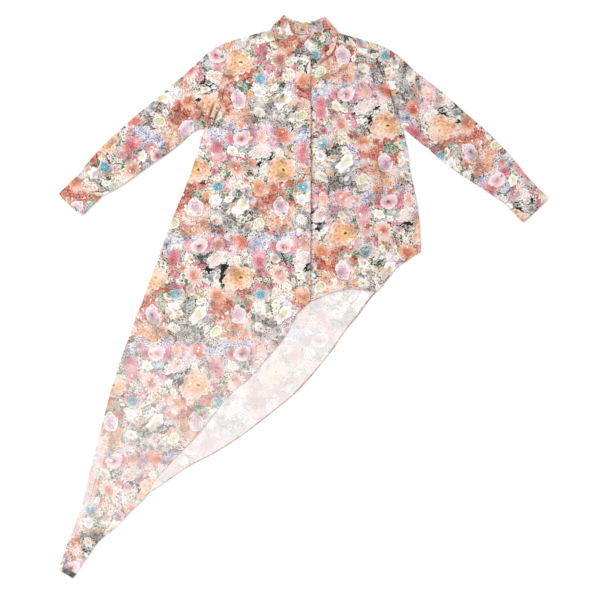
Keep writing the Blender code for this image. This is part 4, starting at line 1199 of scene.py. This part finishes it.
flowerPrint = {
    "repeat": (0.23, 0.58),     # across and down, in metres; the next column starts half-way down
    "haze": 0.42, "dusk": 0.7,  # how far paler and darker drifts go
    "dyeStrength": 0.9, "insetShare": 0.26,
    "mostPetals": 25.0, "mostRings": 8.0,  # of any flower below
    # the cloth white is what painted glare pales the print towards
    "clothWhite": "fbf3ef", "wrongSide": "f6f4f5", "wrongSideFade": 0.6,
    # clusters, eight to a repeat: gap, bed and floret colours, share of flowers, and its flower:
    # petals, depth, rings, reach, heart, eye, then inner, outer and heart colours
    "clusters": [
        ("7a2616", "c75031", "ea8763", 0.85, (12, 0.4, 3, 0.50, 0.1, 0, "c64a2d", "ee8b62", "943020")),
        ("0e0f0c", "2b2e28", "fffdf6", 0.80, (5, 0.5, 1, 0.52, 0.22, 0, "f3efe2", "fffefa", "cfc860")),
        ("b07f8a", "f2c9d3", "fdeef2", 0.45, (16, 0.3, 4, 0.54, 0.1, 0, "eda5bb", "fce3ea", "cf6d8c")),
        ("2a2623", "9c9690", "ded8d1", 0.60, (3, 0.5, 2, 0.58, 0.08, 0, "838588", "cac9c9", "57575a")),
        ("94724c", "f3d9b6", "fff6e6", 0.80, (9, 0.35, 1, 0.46, 0.24, 1, "fbebd0", "fffcf2", "dca24c")),
        ("78303e", "da7486", "f6b6c2", 0.70, (8, 0.3, 3, 0.52, 0.1, 0, "d6607a", "f4a8b8", "a53c58")),
        ("686a80", "cfcde2", "f4f1f8", 0.50, (6, 0.3, 2, 0.46, 0.2, 0, "98acda", "dfe2f4", "f6f0c4")),
        ("a05f42", "f0b69c", "fce2d4", 0.70, (10, 0.3, 3, 0.52, 0.12, 0, "ef9054", "fbcba2", "d67028")),
    ],
    # smaller beds let into them here and there
    "insets": [
        ("8b3a50", "de8398", "f6b4c2"), ("1b1c18", "7d877b", "d3dacd"), ("4a6299", "94b2e2", "dfe8f8"),
        ("191714", "aba394", "fffbf3"), ("8c584a", "f2b8a0", "fee4d7"), ("201e19", "d3c8b0", "fffcf4"),
        ("7c6487", "d6c5e0", "f6effa"), ("2c4632", "7c9c76", "cddbc2"),
    ],
    # each layer: cells across and down in half a repeat, shift in cells, roam in its own
    # cell, share of cells that stay empty, strength of petal shading, and its flowers
    "layers": [
        # florets in the colours of their bed
        dict(scattered=0.0128, empty=0.08, shading=0.85, rim=0.35, flowers=[
            (5, 0.5, 1, 0.62, 0.22, 0, None, None, None)]),
        # small ones, the clusters' own flowers
        dict(scattered=0.024, empty=0.0, shading=0.75, rim=0.35, flowers=[]),
        # medium
        dict(half=(3, 7), shift=(0.45, 0.2), roam=0.3, empty=0.66, shading=0.6, rim=0.3, seed=5.0, flowers=[
            (5, 0.35, 1, 0.46, 0.26, 0, "f1ecdc", "fffdf6", "e6cc48"),
            (13, 0.4, 4, 0.48, 0.08, 0, "c24a30", "ea8261", "8e2c1c"),
            (6, 0.12, 4, 0.42, 0.06, 0, "dc9cc0", "f8dfea", "c47ba4"),
            (16, 0.16, 2, 0.44, 0.28, 1, "eeb0ba", "fbdfe2", "8f4048"),
            (14, 0.45, 4, 0.48, 0.08, 0, "dc5a26", "f8a671", "b84416"),
            (24, 0.05, 3, 0.38, 0.1, 0, "dcdca4", "f6f4d8", "bfc37c"),
            (7, 0.2, 4, 0.50, 0.08, 0, "dd657c", "f5a6b2", "ad3c56"),
            (10, 0.3, 3, 0.48, 0.16, 0, "f29646", "fccda0", "e8a02c"),
            (5, 0.4, 1, 0.46, 0.2, 0, "e9e9f4", "fdfdff", "e2d475"),
            (6, 0.3, 3, 0.36, 0.1, 0, "3f7bd0", "9cc0ee", "d9e3f4"),
            (11, 0.22, 3, 0.48, 0.14, 0, "f3ab92", "fddccc", "e27d5c"),
            (9, 0.3, 3, 0.36, 0.12, 0, "3fa2b0", "9fd8de", "e6f2d4")]),
        # large ones, each in a place of its own
        dict(half=(1, 3), shift=(0.52, 0.46), roam=0.1, empty=0.0, shading=0.8, rim=0.25, seed=7.0,
             charted=True, flowers=[
            (14, 0.4, 4, 0.31, 0.1, 0, "e0682a", "fdc08c", "dc8420"),
            (9, 0.3, 3, 0.20, 0.2, 0, "f3d9d2", "fff7f3", "ecb79c"),
            (16, 0.4, 3, 0.19, 0.30, 1, "f7f1e2", "fffef9", "e8ca60"),
            (7, 0.3, 2, 0.15, 0.12, 0, "3f9cb6", "a8dbe2", "e6f2ee"),
            (12, 0.35, 4, 0.27, 0.06, 0, "dc566e", "f6a0ac", "ac2f4c"),
            (24, 0.05, 2, 0.15, 0.1, 0, "dfe0a8", "f8f6dc", "c9cf84")]),
        # the largest, likewise
        dict(half=(1, 3), shift=(0.0, 0.0), roam=0.1, empty=0.0, shading=0.65, rim=0.25, seed=1.0,
             charted=True, flowers=[
            (11, 0.22, 4, 0.39, 0.3, 1, "f8b052", "fdd3b6", "f4b63c"),
            (6, 0.14, 4, 0.26, 0.05, 0, "e2502a", "f99a70", "c03a1c"),
            (5, 0.36, 1, 0.26, 0.24, 0, "f1ecd2", "fffdf8", "e8d23c"),
            (15, 0.5, 3, 0.32, 0.06, 0, "e0602a", "fff0e0", "b84416"),
            (18, 0.14, 1, 0.23, 0.24, 1, "f0b0bc", "fde4e8", "8a3440"),
            (5, 0.16, 5, 0.24, 0.05, 0, "e6b8ce", "fdf2f6", "d09ab6")]),
        # tiny ones strewn over all
        dict(scattered=0.0112, empty=0.84, shading=0.6, rim=0.4, flowers=[
            (5, 0.5, 1, 0.52, 0.22, 0, "f4f0e6", "fffefa", "d8cf7a"),
            (5, 0.4, 1, 0.46, 0.2, 0, "d9607a", "f6a9b6", "a83252"),
            (6, 0.4, 1, 0.50, 0.2, 0, "f3d3d2", "fdf0ee", "e0a18e"),
            (5, 0.5, 1, 0.46, 0.2, 0, "d8683c", "f5ab82", "a8431f"),
            (3, 0.5, 1, 0.56, 0.1, 0, "6c7f68", "a9b8a2", "43513f"),
            (5, 0.5, 1, 0.50, 0.22, 0, "efe6da", "fffdf8", "c9a84e")]),
    ],
}


class PrintWires(Wires):
    # what the flower print repeats: strayed places, nets of cells and flower heads
    def strayed(self, at, scale, detail, size, rough=0.5):
        loose = self.vector("SUBTRACT", self.noise(at, scale, detail, "Color", rough), (0.5, 0.5, 0.5))
        return self.vector("ADD", at, self.vector("MULTIPLY", loose, (*size, 0.0)))

    def cells(self, at, half, shift, seed):
        # which cell of a net this is, the same in each repeat
        size = tuple(length / 2 / count for length, count in zip(flowerPrint["repeat"], half))
        scaled = self.vector("ADD", self.vector("DIVIDE", at, (*size, 1.0)), (*shift, 0.0))
        i, j, _ = self.parts(self.vector("FLOOR", scaled))
        drop = self.calc("FLOOR", self.calc("DIVIDE", j, half[1]))
        i = self.calc("SUBTRACT", i, self.calc("MULTIPLY", drop, half[0]))
        i = self.calc("WRAP", i, 2 * half[0], 0.0)
        j = self.calc("SUBTRACT", j, self.calc("MULTIPLY", drop, half[1]))
        chance = self.node("ShaderNodeTexWhiteNoise", {"Vector": self.join(i, j, seed)},
                           noise_dimensions="3D").outputs
        return size, scaled, i, j, chance["Value"], chance["Color"]

    def charted(self, i, j, down, count):
        # a cell's own place in a list, as a share of one
        return self.calc("DIVIDE", self.calc("MULTIPLY_ADD", i, down, self.calc("ADD", j, 0.5)), count)

    def clusterAt(self, at):
        at = self.strayed(at, 30.0, 2.0, (0.085, 0.075))
        _, _, i, j, *_ = self.cells(at, (1, 4), (0.2, 0.7), 17.0)
        return self.charted(i, j, 4, len(flowerPrint["clusters"]))

    def strewn(self, place, layer):
        # flowers round the nearest of points strewn at random
        apart, flowers, share = layer["scattered"], layer["flowers"], 1 - layer["empty"]
        near = self.node("ShaderNodeTexVoronoi", {"Vector": place, "Scale": 1 / apart},
                         voronoi_dimensions="2D").outputs
        local = self.vector("SUBTRACT", place, near["Position"])
        local = self.vector("MULTIPLY", local, (1 / apart, 1 / apart, 0.0))
        kind = self.calc("FRACT", self.calc("MULTIPLY", self.parts(near["Color"])[0], 7.0))
        if not flowers:  # those of the cluster the flower stands in, with a few strays
            clusters = flowerPrint["clusters"]
            flowers = [row[4] for row in clusters]
            stray = self.calc("LESS_THAN", self.parts(near["Color"])[1], 0.2)
            own = self.calc("MULTIPLY", self.clusterAt(near["Position"]), self.calc("SUBTRACT", 1.0, stray))
            kind = self.calc("ADD", self.calc("MULTIPLY", kind, stray), own)
            share = self.parts(self.ramp(kind, [(row[3], 0, 0, 1) for row in clusters]))[0]
        return local, near["Color"], kind, flowers, share

    def netted(self, place, layer):
        # flowers in the cells of a net, each a little off its middle
        half, flowers = layer["half"], layer["flowers"]
        size, scaled, i, j, kind, chance = self.cells(place, half, layer["shift"], layer["seed"])
        local = self.vector("SUBTRACT", self.vector("FRACTION", scaled), (0.5, 0.5, 0.0))
        local = self.vector("MULTIPLY", local, (size[0] / max(size), size[1] / max(size), 0.0))
        roam = self.vector("SUBTRACT", chance, (0.5, 0.5, 0.5))
        local = self.vector("ADD", local, self.vector("MULTIPLY", roam, (layer["roam"],) * 3))
        local = self.vector("MULTIPLY", local, (1.0, 1.0, 0.0))
        if layer.get("charted"):
            kind = self.charted(i, j, half[1], len(flowers))
        return local, chance, kind, flowers, 1 - layer["empty"]

    def flowerHere(self, kind, flowers):
        # form and colours of the flower that stands here
        petalsTop, ringsTop = flowerPrint["mostPetals"], flowerPrint["mostRings"]
        form = self.ramp(kind, [(f[0] / petalsTop, f[1], f[2] / ringsTop, 1.0) for f in flowers])
        more = self.ramp(kind, [(f[3], f[4], f[5], 1.0) for f in flowers])
        petals, depth, rings = self.parts(form)
        petals, rings = self.calc("MULTIPLY", petals, petalsTop), self.calc("MULTIPLY", rings, ringsTop)
        inks = [self.ramp(kind, [tint(f[k]) for f in flowers]) for k in (6, 7, 8)]
        return (petals, depth, rings, *self.parts(more)), inks

    def flowerHead(self, local, red, green, form, inks, fine, shading):
        # one layer's flower: how much it covers, how far out, and its colour
        (petals, depth, rings, reach, heartSize, eye), (inner, outer, heart) = form, inks
        turned = self.node("ShaderNodeVectorRotate", {
            "Vector": local, "Angle": self.calc("MULTIPLY", red, 40.0)}, rotation_type="Z_AXIS").outputs[0]
        reach = self.calc("MULTIPLY", reach, self.span(red, 0.0, 1.0, 0.76, 1.0, smooth=False))
        squash = self.join(self.span(green, 0.0, 1.0, 1.0, 1.25, smooth=False), 1.0)
        unit = self.vector("DIVIDE", self.vector("MULTIPLY", turned, squash), self.join(reach, reach, 1.0))
        values = {"Local": unit, "Petals": petals, "Depth": depth, "Rings": rings}
        head = self.node("ShaderNodeGroup", values, node_tree=bpy.data.node_groups["blossom"]).outputs
        far = head["Reach"]
        petal = self.blend(self.span(far, 0.1, 0.95), inner, outer)
        petal = self.blend(self.calc("MULTIPLY", head["Tip"], 0.3), petal, (1.0, 0.98, 0.95, 1.0))
        deep = self.dyed(self.blend(0.55, petal, inner), tint("b7a29c"))
        petal = self.blend(self.span(head["Shade"], 0.8, 0.05, 0.0, shading), petal, deep)
        petal = self.blend(self.span(fine, 0.60, 0.3, 0.0, 0.55), petal, self.dyed(petal, petal))
        bright = self.blend(0.5, heart, (1, 1, 0.9, 1))
        centre = self.blend(self.span(fine, 0.3, 0.6, 0.0, 0.6), heart, bright)
        pupil = self.span(far, *[self.calc("MULTIPLY", heartSize, share) for share in (0.45, 0.2)])
        centre = self.blend(self.calc("MULTIPLY", eye, pupil), centre, tint("6b4a38"))
        ends = [self.calc(way, heartSize, 0.08) for way in ("ADD", "SUBTRACT")]
        return head["Cover"], far, self.blend(self.span(far, *ends), petal, centre)


def printGroup():
    tree, _, given, made = newGroup("flower_print", [("Place", "Vector")], [("Colour", "Color")])
    w, clusters = PrintWires(tree), flowerPrint["clusters"]
    blossomGroup()
    x, y, _ = w.parts(given["Place"])
    u, v = (w.calc("MULTIPLY", a, 2 * pi / length) for a, length in zip((x, y), flowerPrint["repeat"]))

    def swing(across, down, start, size):  # keeps to the half-drop repeat
        turn = w.calc("ADD", w.calc("MULTIPLY", u, across), w.calc("MULTIPLY_ADD", v, down, start))
        return w.calc("MULTIPLY", w.calc("SINE", turn), size)

    dx = w.calc("ADD", swing(1, 3, 0.4, 0.007), swing(3, -5, 2.0, 0.002))
    dy = w.calc("ADD", swing(2, 2, 1.1, 0.006), swing(-1, 5, 0.7, 0.003))
    place = w.vector("ADD", w.strayed(given["Place"], 150.0, 3.0, (0.0085, 0.0085), 0.65), w.join(dx, dy))

    # ground: clusters of one colour each, and smaller beds let into them
    fine = w.noise(place, 260.0, 2.0, rough=0.6)
    kind = w.clusterAt(place)
    *_, bedKind, chance = w.cells(w.strayed(place, 45.0, 2.0, (0.04, 0.03)), (3, 9), (0.6, 0.1), 21.0)
    inset = w.calc("LESS_THAN", w.parts(chance)[1], flowerPrint["insetShare"])
    dark, bed, light = (
        w.blend(inset, w.ramp(kind, [tint(row[k]) for row in clusters]),
                w.ramp(bedKind, [tint(row[k]) for row in flowerPrint["insets"]]))
        for k in range(3))
    colour = w.blend(w.span(fine, 0.40, 0.56), dark, bed)

    for layer in flowerPrint["layers"]:
        stand = w.strewn if "scattered" in layer else w.netted
        local, chance, kind, flowers, share = stand(place, layer)
        form, inks = flowers[0][:6], (bed, light, dark)
        if len(flowers) > 1:
            form, inks = w.flowerHere(kind, flowers)
        red, green, blue = w.parts(chance)
        present = w.calc("LESS_THAN", blue, share)
        cover, far, petal = w.flowerHead(local, red, green, form, inks, fine, layer["shading"])
        rim = w.calc("MULTIPLY", w.span(far, 1.25, 1.0, 0.0, layer["rim"]), present)
        colour = w.blend(rim, colour, w.dyed(colour, tint("5f5a58")))
        colour = w.blend(w.calc("MULTIPLY", cover, present), colour, petal)
    drift = w.noise(given["Place"], 24.0, 3.0)
    dusk, haze = w.span(drift, 0.5, 0.3, 0.0, flowerPrint["dusk"]), tint("fef8f6")
    colour = w.blend(dusk, colour, w.dyed(colour, tint("b9a6a2")))
    colour = w.blend(w.span(drift, 0.5, 0.72, 0.0, flowerPrint["haze"]), colour, haze)
    w.put(made["Colour"], w.strength(colour, flowerPrint["dyeStrength"]))
    return tree


# the crease ink is the colour of painted shade in troughs
clothLook = {
    "roughness": 0.82, "specular": 0.25, "sheen": 0.12, "sheenRoughness": 0.5,
    "weave": 1900.0, "bump": 0.12, "bumpDepth": 0.0004, "creaseShadeInk": "6a4a42",
}


def newMaterial(name, roughness):
    material = bpy.data.materials.new(name)
    material.use_nodes = True
    shader = material.node_tree.nodes["Principled BSDF"]
    shader.inputs["Roughness"].default_value = roughness
    return material, shader


def clothMaterial(name, group, strength=1.0, fade=0.0, shade=None):
    material, shader = newMaterial(name, clothLook["roughness"])
    w = Wires(material.node_tree)
    place = w.node("ShaderNodeUVMap", uv_map="cut").outputs[0]
    printed = w.node("ShaderNodeGroup", node_tree=group)
    w.put(printed.inputs["Place"], place)
    colour = printed.outputs["Colour"]
    if strength < 1:
        colour = w.strength(colour, strength)
    if fade > 0:
        colour = w.blend(fade, colour, tint(flowerPrint["wrongSide"]))
    if shade:
        colour = w.dyed(colour, tint(shade))
    # the tone attribute paints light: painted glare pales the print towards cloth white, painted shade
    # darkens it with the crease ink
    tone = w.node("ShaderNodeAttribute", attribute_name="tone").outputs["Fac"]
    colour = w.blend(w.calc("MAXIMUM", tone, 0.0), colour, tint(flowerPrint["clothWhite"]))
    paintedCreaseShade = w.calc("MAXIMUM", w.calc("MULTIPLY", tone, -1.0), 0.0)
    colour = w.blend(paintedCreaseShade, colour, w.dyed(colour, tint(clothLook["creaseShadeInk"])))
    bump = w.node("ShaderNodeBump", {
        "Strength": clothLook["bump"], "Distance": clothLook["bumpDepth"],
        "Height": w.noise(place, clothLook["weave"], 1.0)})
    w.put(shader.inputs["Base Color"], colour)
    w.put(shader.inputs["Normal"], bump.outputs[0])
    shader.inputs["Specular IOR Level"].default_value = clothLook["specular"]
    shader.inputs["Sheen Weight"].default_value = clothLook["sheen"]
    shader.inputs["Sheen Roughness"].default_value = clothLook["sheenRoughness"]
    return material


def plainMaterial(name, code, roughness=0.85):
    material, shader = newMaterial(name, roughness)
    shader.inputs["Base Color"].default_value = tint(code)
    return material


flowers = printGroup()
printCloth = clothMaterial("printed_cloth", flowers)
paleCloth = clothMaterial("cloth_wrong_side", flowers, 0.85, flowerPrint["wrongSideFade"])
hemCloth = clothMaterial("turned_hem", flowers, shade="e6dedb")
darkHemCloth = clothMaterial("tail_hem", flowers, 0.2, shade="8b888b")
threadLook = plainMaterial("sewing_thread", "f1e4df", 0.6)
print("print made:", sum(len(g.nodes) for g in bpy.data.node_groups), "nodes")

# each piece: its node, how it's made, its inner side, what it lies on, its wall, what is sewn to it
for node, make, inner, restsOn, wall, trims in (
        ("back", makeBack, paleCloth, "floor", None, [backHem]),
        ("yoke", makeYoke, printCloth, "floor", None, [yokeSewing]),
        ("front_right", makeFrontRight, paleCloth, "back_cloth", None, [tailHem, frontSewing]),
        ("front_left", makeFrontLeft, paleCloth, "back_cloth", None, [frontSewing]),
        ("front_band", makeBand, printCloth, "front_left_cloth", frontBand["wall"], [bandSewing]),
        ("sleeve_right", makeSleeve, paleCloth, "floor", None, []),
        ("cuff_right", makeCuff, printCloth, "floor", cuffPanels["wall"], [cuffSewing]),
        ("sleeve_left", makeSleeve, paleCloth, "floor", None, []),
        ("cuff_left", makeCuff, printCloth, "floor", cuffPanels["wall"], [cuffSewing]),
        ("collar_stand", makeStand, printCloth, "yoke_cloth", collarCut["standWall"], []),
        ("collar_fall", makeFall, printCloth, "front_right_cloth", collarCut["wall"], [fallSewing])):
    finishCloth(make(node), node, printCloth, inner, wall, trims)

# plain studio: pale floor, soft light, camera straight above at the photo's framing
studio = {
    "view": 1.62, "centre": (-0.009, -0.0095), "height": 4.5, "film": 36.0,
    "light": 1.75, "lightFrom": (-1.8, 1.55, 2.9), "lightSpread": 60.0, "air": 0.68,
    "floor": 9.0, "floorDrop": 0.0004,
}

bpy.ops.object.select_all(action="DESELECT")
bpy.ops.mesh.primitive_plane_add(size=studio["floor"], location=(0, 0, -studio["floorDrop"]))
floor = bpy.context.object
floor.name = "floor"
floor.data.materials.append(plainMaterial("pale_floor", "fefefe"))

world = bpy.data.worlds.new("studio_air")
bpy.context.scene.world = world
world.use_nodes = True
world.node_tree.nodes["Background"].inputs["Color"].default_value = (1.0, 1.0, 1.0, 1.0)
world.node_tree.nodes["Background"].inputs["Strength"].default_value = studio["air"]

bpy.ops.object.light_add(type="SUN", location=studio["lightFrom"])
light = bpy.context.object
light.data.angle = radians(studio["lightSpread"])
light.data.energy = studio["light"]
light.rotation_euler = Vector(studio["lightFrom"]).to_track_quat("Z", "Y").to_euler()

bpy.ops.object.camera_add(location=(*studio["centre"], studio["height"]), rotation=(0, 0, 0))
camera = bpy.context.object
camera.data.lens = studio["film"] * studio["height"] / studio["view"]
camera.data.sensor_width = studio["film"]
bpy.context.scene.camera = camera
bpy.context.scene.view_settings.view_transform = "Standard"
bpy.context.scene.view_settings.look = "None"
print("floor, light and camera placed")
